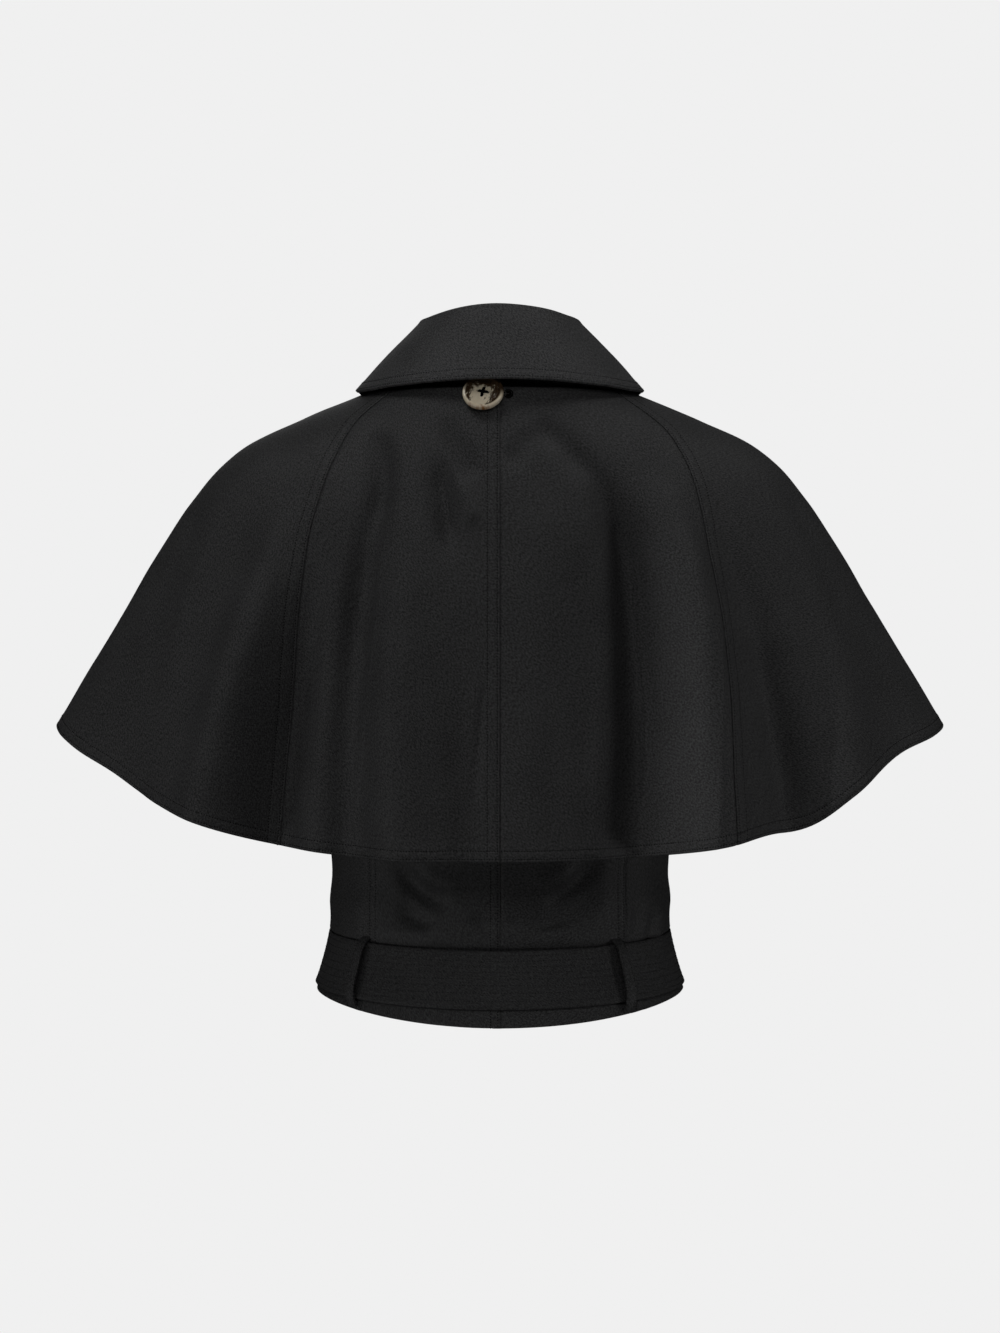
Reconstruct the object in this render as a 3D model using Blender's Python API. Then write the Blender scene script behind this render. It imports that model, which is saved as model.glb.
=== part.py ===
"""A cropped, belted trench coat with a raglan cape over its shoulders, worn and empty.

Metres, +Z up. The front faces -Y and the wearer's left is +X. The origin is the middle of the neck
opening, level with the points where the wearer's shoulders carry the coat.

An angle runs in degrees round the wearer, seen from above: 0 at the left side, 90 at the centre
back, 180 at the right side and 270, or -90, at the centre front. A share runs down a form, from 0
at its neck edge to 1 at its hem.
"""

import math
from collections import namedtuple

import bmesh
import bpy
import numpy as np
from mathutils import Matrix, Vector

# Cloth and the gaps between pieces
CLOTH = 0.0018
COLLAR_CLOTH = 0.0026
BELT_CLOTH = 0.0030
SEAM_GAP = 0.0003
LAY_GAP = 0.0004

CENTRE_BACK, RIGHT_SIDE, CENTRE_FRONT = 90.0, 180.0, 270.0
# Small steps along a form, used to find which way it faces
ANGLE_STEP, SHARE_STEP = 0.5, 0.004
# Edges that turn more than this, in degrees, are shaded sharp
SHARP_ANGLE = 40.0

# A row for each ring of a form: where it passes the side, the centre back and the centre front
Section = namedtuple(
    "Section", "share half_width side_height back_reach back_height front_reach front_height"
)

BODY_SECTIONS = [
    Section(0.000, 0.0720, -0.0020, 0.0700, 0.0100, 0.0660, -0.0500),
    Section(0.120, 0.1200, -0.0253, 0.0955, -0.0370, 0.0870, -0.0900),
    Section(0.240, 0.1680, -0.0508, 0.1120, -0.0870, 0.1020, -0.1280),
    Section(0.360, 0.1670, -0.1130, 0.1165, -0.1380, 0.1150, -0.1680),
    Section(0.480, 0.1540, -0.1880, 0.1180, -0.1920, 0.1240, -0.2080),
    Section(0.620, 0.1440, -0.2570, 0.1125, -0.2590, 0.1220, -0.2660),
    Section(0.750, 0.1330, -0.3230, 0.1040, -0.3230, 0.1130, -0.3260),
    Section(0.870, 0.1278, -0.3910, 0.0980, -0.3910, 0.1040, -0.3910),
    Section(0.935, 0.1275, -0.4250, 0.1005, -0.4260, 0.1045, -0.4260),
    Section(0.989, 0.1386, -0.4644, 0.1154, -0.4662, 0.1130, -0.4660),
    Section(1.000, 0.1405, -0.4675, 0.1200, -0.4785, 0.1150, -0.4750),
]

CAPE_SECTIONS = [
    Section(0.00, 0.1040, -0.0148, 0.0900, -0.0097, 0.0830, -0.0460),
    Section(0.15, 0.1500, -0.0338, 0.1145, -0.0550, 0.1020, -0.0910),
    Section(0.29, 0.1950, -0.0560, 0.1300, -0.1020, 0.1185, -0.1350),
    Section(0.37, 0.2160, -0.0740, 0.1355, -0.1300, 0.1260, -0.1590),
    Section(0.44, 0.2310, -0.0926, 0.1395, -0.1540, 0.1315, -0.1810),
    Section(0.53, 0.2500, -0.1200, 0.1435, -0.1860, 0.1365, -0.2095),
    Section(0.70, 0.2825, -0.1740, 0.1510, -0.2455, 0.1430, -0.2630),
    Section(0.85, 0.3100, -0.2195, 0.1565, -0.2975, 0.1475, -0.3090),
    Section(1.00, 0.3380, -0.2660, 0.1620, -0.3495, 0.1520, -0.3550),
]

# The middle of the collar's wall, up its stand, over the fold and down its fall
COLLAR_SECTIONS = [
    Section(0.00, 0.0712, -0.0014, 0.0692, 0.0106, 0.0652, -0.0494),
    Section(0.20, 0.0660, 0.0200, 0.0650, 0.0330, 0.0620, -0.0300),
    Section(0.34, 0.0562, 0.0350, 0.0590, 0.0490, 0.0580, -0.0150),
    Section(0.37, 0.0585, 0.0384, 0.0614, 0.0524, 0.0606, -0.0118),
    Section(0.40, 0.0615, 0.0352, 0.0647, 0.0496, 0.0640, -0.0145),
    Section(0.70, 0.0830, 0.0115, 0.0820, 0.0255, 0.0915, -0.0420),
    Section(1.00, 0.1085, -0.0130, 0.0990, -0.0010, 0.1150, -0.0800),
]
STAND_TOP, FALL_TOP = 0.34, 0.40
# Where the collar stops, past the side: at the neck, and at the points of its fall
COLLAR_NECK_END, COLLAR_POINT_END = 86.0, 62.0
STAND_ROWS, TURN_ROWS, FALL_ROWS, COLLAR_COLUMNS = 4, 5, 6, 31
# How long a ring stays level past its sides before it dips to the back and front
BODY_DIP, CAPE_DIP = 2.0, 3.0

# Sewn lines of the cape, as angles from the side that they lie on
CapeLine = namedtuple("CapeLine", "share left_back right_back front front_edge")
CAPE_LINES = [
    CapeLine(0.00, 37.0, 31.0, 32.0, 70.0),
    CapeLine(0.09, 37.0, 31.0, 33.0, 72.0),
    CapeLine(0.14, 39.3, 32.5, 35.0, 73.0),
    CapeLine(0.20, 42.8, 36.4, 38.0, 74.0),
    CapeLine(0.29, 47.2, 41.9, 43.0, 75.0),
    CapeLine(0.38, 49.8, 46.3, 46.5, 75.8),
    CapeLine(0.52, 52.8, 50.6, 50.0, 76.5),
    CapeLine(0.70, 56.0, 54.7, 54.0, 77.3),
    CapeLine(0.85, 58.2, 57.8, 56.7, 77.7),
    CapeLine(1.00, 60.3, 60.3, 59.0, 78.0),
]
CAPE_ROWS, CAPE_BACK_COLUMNS, CAPE_SIDE_COLUMNS, CAPE_FRONT_COLUMNS = 15, 12, 25, 7

# Large folds of the cape, from the share where each starts to the one where it is full. A ridge has
# depth outwards and a trough inwards, and its hem is raised or, below 0, lowered
Fold = namedtuple("Fold", "start full start_angle hem_angle spread depth hem_raise")
CAPE_FOLDS = [
    Fold(0.50, 1.00, 17.0, 31.0, 9.0, -0.0060, 0.0042),
    Fold(0.45, 0.90, 31.0, 42.0, 5.0, 0.0040, 0.0),
    Fold(0.26, 0.80, 41.0, 49.5, 4.6, 0.0180, 0.0),
    Fold(0.28, 0.80, 52.5, 60.5, 4.6, -0.0250, 0.0),
    Fold(0.14, 0.55, 60.0, 70.5, 3.8, -0.0150, 0.0),
    Fold(0.18, 0.65, 69.5, 78.0, 4.4, 0.0110, -0.0010),
    Fold(0.40, 0.90, 83.0, 85.5, 2.6, -0.0040, 0.0),
    Fold(0.40, 0.90, 95.0, 93.5, 5.0, 0.0050, 0.0),
    Fold(0.12, 0.50, 119.0, 107.5, 5.0, -0.0240, 0.0),
    Fold(0.20, 0.60, 130.0, 118.0, 5.0, 0.0220, -0.0010),
    Fold(0.40, 0.90, 139.0, 130.5, 4.0, -0.0150, 0.0),
    Fold(0.42, 1.00, 160.0, 141.0, 5.0, 0.0075, 0.0),
    Fold(0.42, 1.00, 157.0, 133.0, 5.0, 0.0, -0.0065),
    Fold(0.40, 1.00, 171.0, 155.0, 9.0, -0.0070, 0.0),
    Fold(0.40, 1.00, 168.0, 152.0, 12.0, 0.0, 0.0110),
    Fold(0.42, 1.00, 205.0, 208.0, 7.0, -0.0070, 0.0030),
    Fold(0.38, 1.00, 222.0, 226.0, 6.0, 0.0080, -0.0030),
    Fold(0.35, 1.00, 232.0, 238.0, 5.0, -0.0090, 0.0030),
    Fold(0.40, 1.00, 240.0, 249.0, 5.0, 0.0060, -0.0020),
    Fold(0.38, 1.00, 300.0, 292.0, 5.0, 0.0070, -0.0020),
    Fold(0.35, 1.00, 308.0, 303.0, 5.5, -0.0100, 0.0030),
    Fold(0.40, 1.00, 318.0, 316.0, 6.0, 0.0080, -0.0030),
    Fold(0.42, 1.00, 334.0, 332.0, 7.0, -0.0060, 0.0030),
]

# Cutting lines of the coat body
SHOULDER_TIP = 0.24
ARMHOLE_FOOT = 0.46
ARMHOLE_DIP = 0.08
LEFT_SEAM_AT_ARMHOLE, LEFT_SEAM_AT_HEM = 43.0, 39.0
RIGHT_SEAM_AT_ARMHOLE, RIGHT_SEAM_AT_HEM = 45.0, 42.5
FRONT_SEAM_AT_ARMHOLE, FRONT_SEAM_AT_HEM = 44.0, 42.0
FRONT_LAP = 0.026
LAP_EASE_START, LAP_EASE_END = 0.050, 0.030
UNDERLAP_DROP = CLOTH + 3 * LAY_GAP
SHOULDER_ROWS, ARMHOLE_ROWS, WAIST_ROWS = 5, 6, 9
BACK_COLUMNS, SIDE_COLUMNS, FRONT_COLUMNS = 7, 8, 9

# Belt, its loops and its slide buckle
BELT_TOP, BELT_FOOT = 0.9325, 0.9890
BELT_START, BELT_TAIL = -84.0, 62.0
BELT_ROWS, BELT_STEP, BELT_STEP_AT_BUCKLE, BUCKLE_TURN = 3, 6.0, 1.5, 18.0
TAIL_RISE_START, TAIL_RISE_END = 222.0, 252.0
TAIL_LIFT = BELT_CLOTH + LAY_GAP
BUCKLE_LENGTH, BUCKLE_HEIGHT = 0.062, 0.060
BUCKLE_SIDE, BUCKLE_RAIL, BUCKLE_BAR = 0.006, 0.005, 0.005
BUCKLE_THICKNESS, BUCKLE_ROUNDING = 0.0030, 0.0008
BUCKLE_LIFT = 0.0056
HUMP_HALF, HUMP_CROWN = 0.0235, 0.0040
HUMP_LIFT = BUCKLE_LIFT + BUCKLE_THICKNESS + LAY_GAP - TAIL_LIFT
LOOP_LEFT_ANGLE, LOOP_RIGHT_ANGLE = 38.5, 133.0
LOOP_TOP, LOOP_FOOT = 0.925, 0.9990
LOOP_WIDTH, LOOP_CLOTH, LOOP_STAND_OFF = 0.0095, 0.0016, 0.0078
LOOP_ROWS, LOOP_SQUARENESS = 13, 4

# Horn buttons
BUTTON_RADIUS = 0.01525
BUTTON_HEIGHT = 0.0044
BUTTON_RIM = 0.0030
BUTTON_DISH = 0.0012
BUTTON_WIDEST, BUTTON_FOOT = 0.65 * BUTTON_HEIGHT, 0.15 * BUTTON_HEIGHT
BUTTON_HOLE_RADIUS, BUTTON_HOLE_SPREAD = 0.0012, 0.0038
BUTTON_SIDES, HOLE_SIDES = 24, 8
BUTTON_SEAT = 0.0006
CAPE_BUTTON_ACROSS, CAPE_BUTTON_SHARE = 0.0115, 0.017
FRONT_BUTTON_SHARES = (0.09, 0.30, 0.51, 0.72)

# Colours, roughness and metallic value of each finish
FINISHES = {
    "coat_cloth": ((0.040, 0.040, 0.041), 0.85, 0.0),
    "cape_cloth": ((0.032, 0.032, 0.033), 0.85, 0.0),
    "collar_cloth": ((0.044, 0.044, 0.045), 0.85, 0.0),
    "belt_cloth": ((0.034, 0.034, 0.035), 0.85, 0.0),
    "horn": ((0.55, 0.45, 0.30), 0.25, 0.0),
    "buckle_lacquer": ((0.012, 0.012, 0.012), 0.35, 0.0),
}


def read_column(rows, column, share):
    """A column of a table at any share, by a smooth curve through its rows."""
    stations = np.array([row.share for row in rows])
    values = np.array([getattr(row, column) for row in rows])
    slopes = np.gradient(values, stations)
    share = np.asarray(share, float)
    row = np.clip(np.searchsorted(stations, share, side="right") - 1, 0, len(stations) - 2)
    span = stations[row + 1] - stations[row]
    part = (share - stations[row]) / span
    start = (1 + 2 * part) * (1 - part) ** 2
    end = part ** 2 * (3 - 2 * part)
    leave = part * (1 - part) ** 2 * span
    arrive = part ** 2 * (part - 1) * span
    return (start * values[row] + end * values[row + 1]
            + leave * slopes[row] + arrive * slopes[row + 1])


def ease(part):
    """A smooth step from 0 to 1."""
    part = np.clip(part, 0.0, 1.0)
    return part * part * (3 - 2 * part)


def ring_form(sections, angle, share, dip_power):
    """Points of a form: an oval ring at each share, which dips from its sides to back and front."""
    turn = np.radians(angle)
    along = np.sin(turn)
    back = along >= 0
    side_height = read_column(sections, "side_height", share)
    reach = np.where(back, read_column(sections, "back_reach", share),
                     read_column(sections, "front_reach", share))
    height = np.where(back, read_column(sections, "back_height", share),
                      read_column(sections, "front_height", share))
    x = read_column(sections, "half_width", share) * np.cos(turn)
    dip = 1 - np.abs(np.cos(turn)) ** dip_power
    z = side_height + (height - side_height) * dip
    return np.stack([x, reach * along, z], axis=-1)


def outward(form, angle, share):
    """Unit normals of a form, away from the wearer."""
    along = form(angle + ANGLE_STEP, share) - form(angle - ANGLE_STEP, share)
    above, below = np.maximum(share - SHARE_STEP, 0.0), np.minimum(share + SHARE_STEP, 1.0)
    normal = np.cross(form(angle, below) - form(angle, above), along)
    return normal / np.linalg.norm(normal, axis=-1, keepdims=True)


def moved_out(form, angle, share, distance):
    """Points of a form, moved away from the wearer."""
    return form(angle, share) + outward(form, angle, share) * np.asarray(distance)[..., None]


def body_form(angle, share):
    """The outside of the coat body."""
    return ring_form(BODY_SECTIONS, angle, share, BODY_DIP)


def underlap_form(angle, share):
    """The left front, which dips under the right one towards the middle."""
    across = body_form(angle, share)[..., 0]
    part = ease((LAP_EASE_START - across) / (LAP_EASE_START - LAP_EASE_END))
    return moved_out(body_form, angle, share, -UNDERLAP_DROP * part)


def smooth_cape_form(angle, share):
    """The outside of the cape before it falls into folds."""
    return ring_form(CAPE_SECTIONS, angle, share, CAPE_DIP)


def cape_form(angle, share):
    """The outside of the cape with its large folds, which deepen towards the hem."""
    angle, share = np.broadcast_arrays(np.asarray(angle, float), np.asarray(share, float))
    depth = np.zeros(angle.shape)
    height = np.zeros(angle.shape)
    for fold in CAPE_FOLDS:
        run = (share - fold.start) / (1.0 - fold.start)
        middle = fold.start_angle + (fold.hem_angle - fold.start_angle) * run
        away = (angle - middle + 180.0) % 360.0 - 180.0
        swell = np.exp(-(away / fold.spread) ** 2)
        depth += fold.depth * swell * ease((share - fold.start) / (fold.full - fold.start))
        height += fold.hem_raise * swell * ease(run)
    points = moved_out(smooth_cape_form, angle, share, depth)
    points[..., 2] += height
    return points


def collar_form(angle, share):
    """The middle of the collar's wall."""
    return ring_form(COLLAR_SECTIONS, angle, share, BODY_DIP)


def finish(name):
    """The material of one finish, made once."""
    found = bpy.data.materials.get(name)
    if found:
        return found
    colour, roughness, metallic = FINISHES[name]
    material = bpy.data.materials.new(name)
    material.use_nodes = True
    shader = material.node_tree.nodes["Principled BSDF"]
    shader.inputs["Base Color"].default_value = (*colour, 1.0)
    shader.inputs["Roughness"].default_value = roughness
    shader.inputs["Metallic"].default_value = metallic
    material.diffuse_color = (*colour, 1.0)
    return material


def new_piece(name, mesh, finish_name, parent):
    """An object of its own for one piece, shaded smooth but for its edges."""
    mesh.materials.append(finish(finish_name))
    mesh.shade_smooth()
    mesh.set_sharp_from_angle(angle=math.radians(SHARP_ANGLE))
    piece = bpy.data.objects.new(name, mesh)
    bpy.context.scene.collection.objects.link(piece)
    piece.parent = parent
    return piece


def trim_edge(grid, edge, inner):
    """Draw a sewn edge of a grid of points back, square to the seam, by half the seam's gap."""
    line = grid[:, edge]
    tangent = np.gradient(line, axis=0)
    tangent /= np.linalg.norm(tangent, axis=-1, keepdims=True)
    inwards = grid[:, inner] - line
    inwards -= tangent * np.sum(inwards * tangent, axis=-1, keepdims=True)
    inwards /= np.linalg.norm(inwards, axis=-1, keepdims=True)
    grid[:, edge] = line + inwards * (SEAM_GAP / 2)


def wall_mesh(name, outside, inside):
    """A closed wall between two grids of points, rows down the form and columns round it."""
    rows, columns = outside.shape[:2]
    index = np.arange(rows * columns).reshape(rows, columns)
    below = rows * columns
    faces = []
    for row in range(rows - 1):
        for column in range(columns - 1):
            a, b = index[row, column], index[row + 1, column]
            c, d = index[row + 1, column + 1], index[row, column + 1]
            faces.append((a, b, c, d))
            faces.append((d + below, c + below, b + below, a + below))
    rim = np.concatenate([index[:-1, 0], index[-1, :-1], index[:0:-1, -1], index[0, :0:-1]])
    for here, following in zip(rim, np.roll(rim, -1)):
        faces.append((following, here, here + below, following + below))
    points = np.concatenate([outside.reshape(-1, 3), inside.reshape(-1, 3)])
    mesh = bpy.data.meshes.new(name)
    mesh.from_pydata(points.tolist(), [], [tuple(int(i) for i in face) for face in faces])
    mesh.update()
    return mesh


def cloth_piece(name, form, angles, shares, lift, thickness, sewn, finish_name, parent):
    """A piece of cloth whose inside stands off a form; sewn names its edges that meet another."""
    lift = np.broadcast_to(lift, angles.shape)
    inside = moved_out(form, angles, shares, lift)
    outside = moved_out(form, angles, shares, lift + thickness)
    for grid in (outside, inside):
        if "first" in sewn:
            trim_edge(grid, 0, 1)
        if "last" in sewn:
            trim_edge(grid, -1, -2)
    return new_piece(name, wall_mesh(name, outside, inside), finish_name, parent)


def panel(name, form, angles, shares, sewn, finish_name, parent):
    """A cut panel whose outside lies on a form."""
    return cloth_piece(name, form, angles, shares, -CLOTH, CLOTH, sewn, finish_name, parent)


def spread(first, last, columns):
    """Rows of angles between two cutting lines."""
    across = np.linspace(0.0, 1.0, columns)
    return first[:, None] + (last - first)[:, None] * across


def body_seam(share, at_armhole, at_hem):
    """A side seam of the body: shoulder seam, then armhole edge, then the seam down to the hem."""
    armhole = np.clip((share - SHOULDER_TIP) / (ARMHOLE_FOOT - SHOULDER_TIP), 0.0, 1.0)
    below = np.clip((share - ARMHOLE_FOOT) / (1.0 - ARMHOLE_FOOT), 0.0, 1.0)
    return at_armhole * (1 - (1 - armhole) ** 2) + (at_hem - at_armhole) * below


def front_edge(share):
    """How far past the side the lapped edge of a front lies, as an angle."""
    half_width = read_column(BODY_SECTIONS, "half_width", share)
    return np.degrees(np.arccos(FRONT_LAP / half_width))


def belt_shares():
    """The rows of the body that the belt is made on."""
    return np.linspace(BELT_TOP, BELT_FOOT, BELT_ROWS)


def make_body(parent):
    """Six panels: two backs, two sides under the armholes, and two lapped fronts."""
    upper = np.linspace(0.0, SHOULDER_TIP, SHOULDER_ROWS)
    armhole = np.linspace(SHOULDER_TIP, ARMHOLE_FOOT, ARMHOLE_ROWS)
    waist = np.linspace(ARMHOLE_FOOT, LOOP_TOP, WAIST_ROWS)
    lower = np.concatenate([waist, belt_shares(), [1.0]])
    share = np.concatenate([upper, armhole[1:], lower[1:]])
    left_back = body_seam(share, LEFT_SEAM_AT_ARMHOLE, LEFT_SEAM_AT_HEM)
    right_back = RIGHT_SIDE - body_seam(share, RIGHT_SEAM_AT_ARMHOLE, RIGHT_SEAM_AT_HEM)
    front = body_seam(share, FRONT_SEAM_AT_ARMHOLE, FRONT_SEAM_AT_HEM)
    middle = np.full(share.shape, CENTRE_BACK)
    sewn = ("first", "last")

    def body_panel(name, form, first, last, columns, edges):
        angles = spread(first, last, columns)
        shares = np.repeat(share[:, None], columns, axis=1)
        panel(name, form, angles, shares, edges, "coat_cloth", parent)

    body_panel("body_back_left", body_form, left_back, middle, BACK_COLUMNS, sewn)
    body_panel("body_back_right", body_form, middle, right_back, BACK_COLUMNS, sewn)
    lap = front_edge(share)
    body_panel("body_front_left", underlap_form, lap - RIGHT_SIDE, -front, FRONT_COLUMNS, ("last",))
    body_panel("body_front_right", body_form, RIGHT_SIDE + front, 2 * RIGHT_SIDE - lap,
               FRONT_COLUMNS, ("first",))

    across = np.linspace(0.0, 1.0, SIDE_COLUMNS)
    down = (lower - ARMHOLE_FOOT) / (1.0 - ARMHOLE_FOOT)
    top = ARMHOLE_FOOT + ARMHOLE_DIP * (1 - (2 * across - 1) ** 2)
    side_shares = top + (1.0 - top) * down[:, None]
    front_line = body_seam(side_shares, FRONT_SEAM_AT_ARMHOLE, FRONT_SEAM_AT_HEM)
    left_line = body_seam(side_shares, LEFT_SEAM_AT_ARMHOLE, LEFT_SEAM_AT_HEM)
    right_line = body_seam(side_shares, RIGHT_SEAM_AT_ARMHOLE, RIGHT_SEAM_AT_HEM)
    left_angles = -front_line + (left_line + front_line) * across
    right_angles = RIGHT_SIDE - right_line + (right_line + front_line) * across
    panel("body_side_left", body_form, left_angles, side_shares, sewn, "coat_cloth", parent)
    panel("body_side_right", body_form, right_angles, side_shares, sewn, "coat_cloth", parent)


def make_cape(parent):
    """Two backs, two shoulder panels set on by raglan seams, and two open fronts."""
    share = np.linspace(0.0, 1.0, CAPE_ROWS)
    left_back = read_column(CAPE_LINES, "left_back", share)
    right_back = RIGHT_SIDE - read_column(CAPE_LINES, "right_back", share)
    front = read_column(CAPE_LINES, "front", share)
    edge = read_column(CAPE_LINES, "front_edge", share)
    middle = np.full(share.shape, CENTRE_BACK)
    right_front, right_edge = RIGHT_SIDE + front, RIGHT_SIDE + edge
    both = ("first", "last")
    pieces = [
        ("cape_back_left", left_back, middle, CAPE_BACK_COLUMNS, both),
        ("cape_back_right", middle, right_back, CAPE_BACK_COLUMNS, both),
        ("cape_side_left", -front, left_back, CAPE_SIDE_COLUMNS, both),
        ("cape_side_right", right_back, right_front, CAPE_SIDE_COLUMNS, both),
        ("cape_front_left", -edge, -front, CAPE_FRONT_COLUMNS, ("last",)),
        ("cape_front_right", right_front, right_edge, CAPE_FRONT_COLUMNS, ("first",)),
    ]
    for name, first, last, columns, sewn in pieces:
        angles = spread(first, last, columns)
        shares = np.repeat(share[:, None], columns, axis=1)
        panel(name, cape_form, angles, shares, sewn, "cape_cloth", parent)


def make_collar(parent):
    """One wall from the neck seam up the stand, over the fold and down to the fall's edge."""
    stand = np.linspace(0.0, STAND_TOP, STAND_ROWS)
    turn = np.linspace(STAND_TOP, FALL_TOP, TURN_ROWS)
    fall = np.linspace(FALL_TOP, 1.0, FALL_ROWS)
    share = np.concatenate([stand, turn[1:], fall[1:]])
    down = ease((share - FALL_TOP) / (1.0 - FALL_TOP))
    end = COLLAR_NECK_END + (COLLAR_POINT_END - COLLAR_NECK_END) * down
    angles = spread(-end, RIGHT_SIDE + end, COLLAR_COLUMNS)
    shares = np.repeat(share[:, None], COLLAR_COLUMNS, axis=1)
    cloth_piece("collar", collar_form, angles, shares, -COLLAR_CLOTH / 2, COLLAR_CLOTH, (),
                "collar_cloth", parent)


def belt_lift(angle, across):
    """How far the belt's inside stands off the coat: its tail climbs over its start and the bar."""
    rise = ease((angle - TAIL_RISE_START) / (TAIL_RISE_END - TAIL_RISE_START))
    hump = ease((HUMP_HALF - np.abs(across)) / (HUMP_HALF - HUMP_CROWN))
    hump = np.where(angle > TAIL_RISE_END, hump, 0.0)
    return LAY_GAP + rise * TAIL_LIFT + hump * HUMP_LIFT


def make_belt(parent):
    """One strap from under the buckle, round the back, through the buckle and on as a tail."""
    end = BELT_START + 2 * RIGHT_SIDE + BELT_TAIL
    before, after = CENTRE_FRONT - BUCKLE_TURN, CENTRE_FRONT + BUCKLE_TURN
    angle = np.concatenate([
        np.arange(BELT_START, before, BELT_STEP),
        np.arange(before, after, BELT_STEP_AT_BUCKLE),
        np.arange(after, end, BELT_STEP),
        [end],
    ])
    share = belt_shares()
    angles = np.repeat(angle[None, :], len(share), axis=0)
    shares = np.repeat(share[:, None], len(angle), axis=1)
    lift = belt_lift(angles, body_form(angles, shares)[..., 0])
    cloth_piece("belt", body_form, angles, shares, lift, BELT_CLOTH, (), "belt_cloth", parent)


def make_belt_loops(parent):
    """Two narrow straps, sewn above and below the belt and standing off it."""
    for name, middle in (("belt_loop_left", LOOP_LEFT_ANGLE), ("belt_loop_right", LOOP_RIGHT_ANGLE)):
        down = np.linspace(0.0, 1.0, LOOP_ROWS)
        share = LOOP_TOP + (LOOP_FOOT - LOOP_TOP) * down
        half_turn = math.degrees(LOOP_WIDTH / 2 / BODY_SECTIONS[-2].half_width)
        angle = np.array([middle - half_turn, middle, middle + half_turn])
        shares = np.repeat(share[:, None], len(angle), axis=1)
        angles = np.repeat(angle[None, :], len(share), axis=0)
        lift = LAY_GAP + LOOP_STAND_OFF * (1 - (2 * down - 1) ** LOOP_SQUARENESS)
        cloth_piece(name, body_form, angles, shares, lift[:, None], LOOP_CLOTH, (),
                    "coat_cloth", parent)


def seat_matrix(form, angle, share, lift):
    """A place on a form: Z outwards, Y up the form and X along it."""
    angle, share = np.asarray(angle, float), np.asarray(share, float)
    normal = Vector(outward(form, angle, share))
    up = Vector(form(angle, share - SHARE_STEP) - form(angle, share + SHARE_STEP))
    up = (up - normal * up.dot(normal)).normalized()
    along = up.cross(normal)
    turn = Matrix((along, up, normal)).transposed().to_4x4()
    return Matrix.Translation(Vector(form(angle, share)) + normal * lift) @ turn


def make_buckle(parent):
    """A flat slide: a frame with a middle bar, which the belt's tail passes over."""
    half, height = BUCKLE_LENGTH / 2, BUCKLE_HEIGHT / 2
    across = [-half, -half + BUCKLE_SIDE, -BUCKLE_BAR / 2, BUCKLE_BAR / 2, half - BUCKLE_SIDE, half]
    up = [-height, -height + BUCKLE_RAIL, height - BUCKLE_RAIL, height]
    windows = {(1, 1), (3, 1)}
    shape = bmesh.new()
    points = [[shape.verts.new((x, y, 0.0)) for x in across] for y in up]
    for row in range(len(up) - 1):
        for column in range(len(across) - 1):
            if (column, row) not in windows:
                shape.faces.new((points[row][column], points[row][column + 1],
                                 points[row + 1][column + 1], points[row + 1][column]))
    mesh = bpy.data.meshes.new("belt_buckle")
    shape.to_mesh(mesh)
    shape.free()
    buckle = new_piece("belt_buckle", mesh, "buckle_lacquer", parent)
    plate = buckle.modifiers.new("plate", "SOLIDIFY")
    plate.thickness = BUCKLE_THICKNESS
    plate.offset = 1.0
    rounding = buckle.modifiers.new("rounding", "BEVEL")
    rounding.width = BUCKLE_ROUNDING
    rounding.segments = 1
    rounding.limit_method = "ANGLE"
    middle = (BELT_TOP + BELT_FOOT) / 2
    buckle.matrix_world = seat_matrix(body_form, CENTRE_FRONT, middle, BUCKLE_LIFT)


def button_mesh():
    """A turned button, dished on top inside a round rim, with four holes through it."""
    profile = [
        (0.0, BUTTON_HEIGHT - BUTTON_DISH),
        (BUTTON_RADIUS - 2 * BUTTON_RIM, BUTTON_HEIGHT - BUTTON_DISH),
        (BUTTON_RADIUS - BUTTON_RIM, BUTTON_HEIGHT),
        (BUTTON_RADIUS - BUTTON_RIM / 2, BUTTON_HEIGHT),
        (BUTTON_RADIUS, BUTTON_WIDEST),
        (BUTTON_RADIUS - BUTTON_RIM / 2, BUTTON_FOOT),
        (BUTTON_RADIUS - 2 * BUTTON_RIM, 0.0),
        (0.0, 0.0),
    ]
    shape = bmesh.new()
    points = [shape.verts.new((radius, 0.0, height)) for radius, height in profile]
    edges = [shape.edges.new(pair) for pair in zip(points, points[1:])]
    bmesh.ops.spin(shape, geom=points + edges, cent=(0, 0, 0), axis=(0, 0, 1),
                   angle=math.tau, steps=BUTTON_SIDES)
    bmesh.ops.remove_doubles(shape, verts=shape.verts, dist=0.00001)
    bmesh.ops.recalc_face_normals(shape, faces=shape.faces)
    mesh = bpy.data.meshes.new("button")
    shape.to_mesh(mesh)
    shape.free()
    return mesh


def button_cutter():
    """Four round pins that cut a button's thread holes, kept as a hidden guide."""
    shape = bmesh.new()
    out = BUTTON_HOLE_SPREAD
    for across, up in ((out, 0.0), (0.0, out), (-out, 0.0), (0.0, -out)):
        place = Matrix.Translation((across, up, BUTTON_HEIGHT / 2))
        bmesh.ops.create_cone(shape, cap_ends=True, segments=HOLE_SIDES, matrix=place,
                              radius1=BUTTON_HOLE_RADIUS, radius2=BUTTON_HOLE_RADIUS,
                              depth=2 * BUTTON_HEIGHT)
    mesh = bpy.data.meshes.new("button_cutter")
    shape.to_mesh(mesh)
    shape.free()
    return mesh


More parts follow.
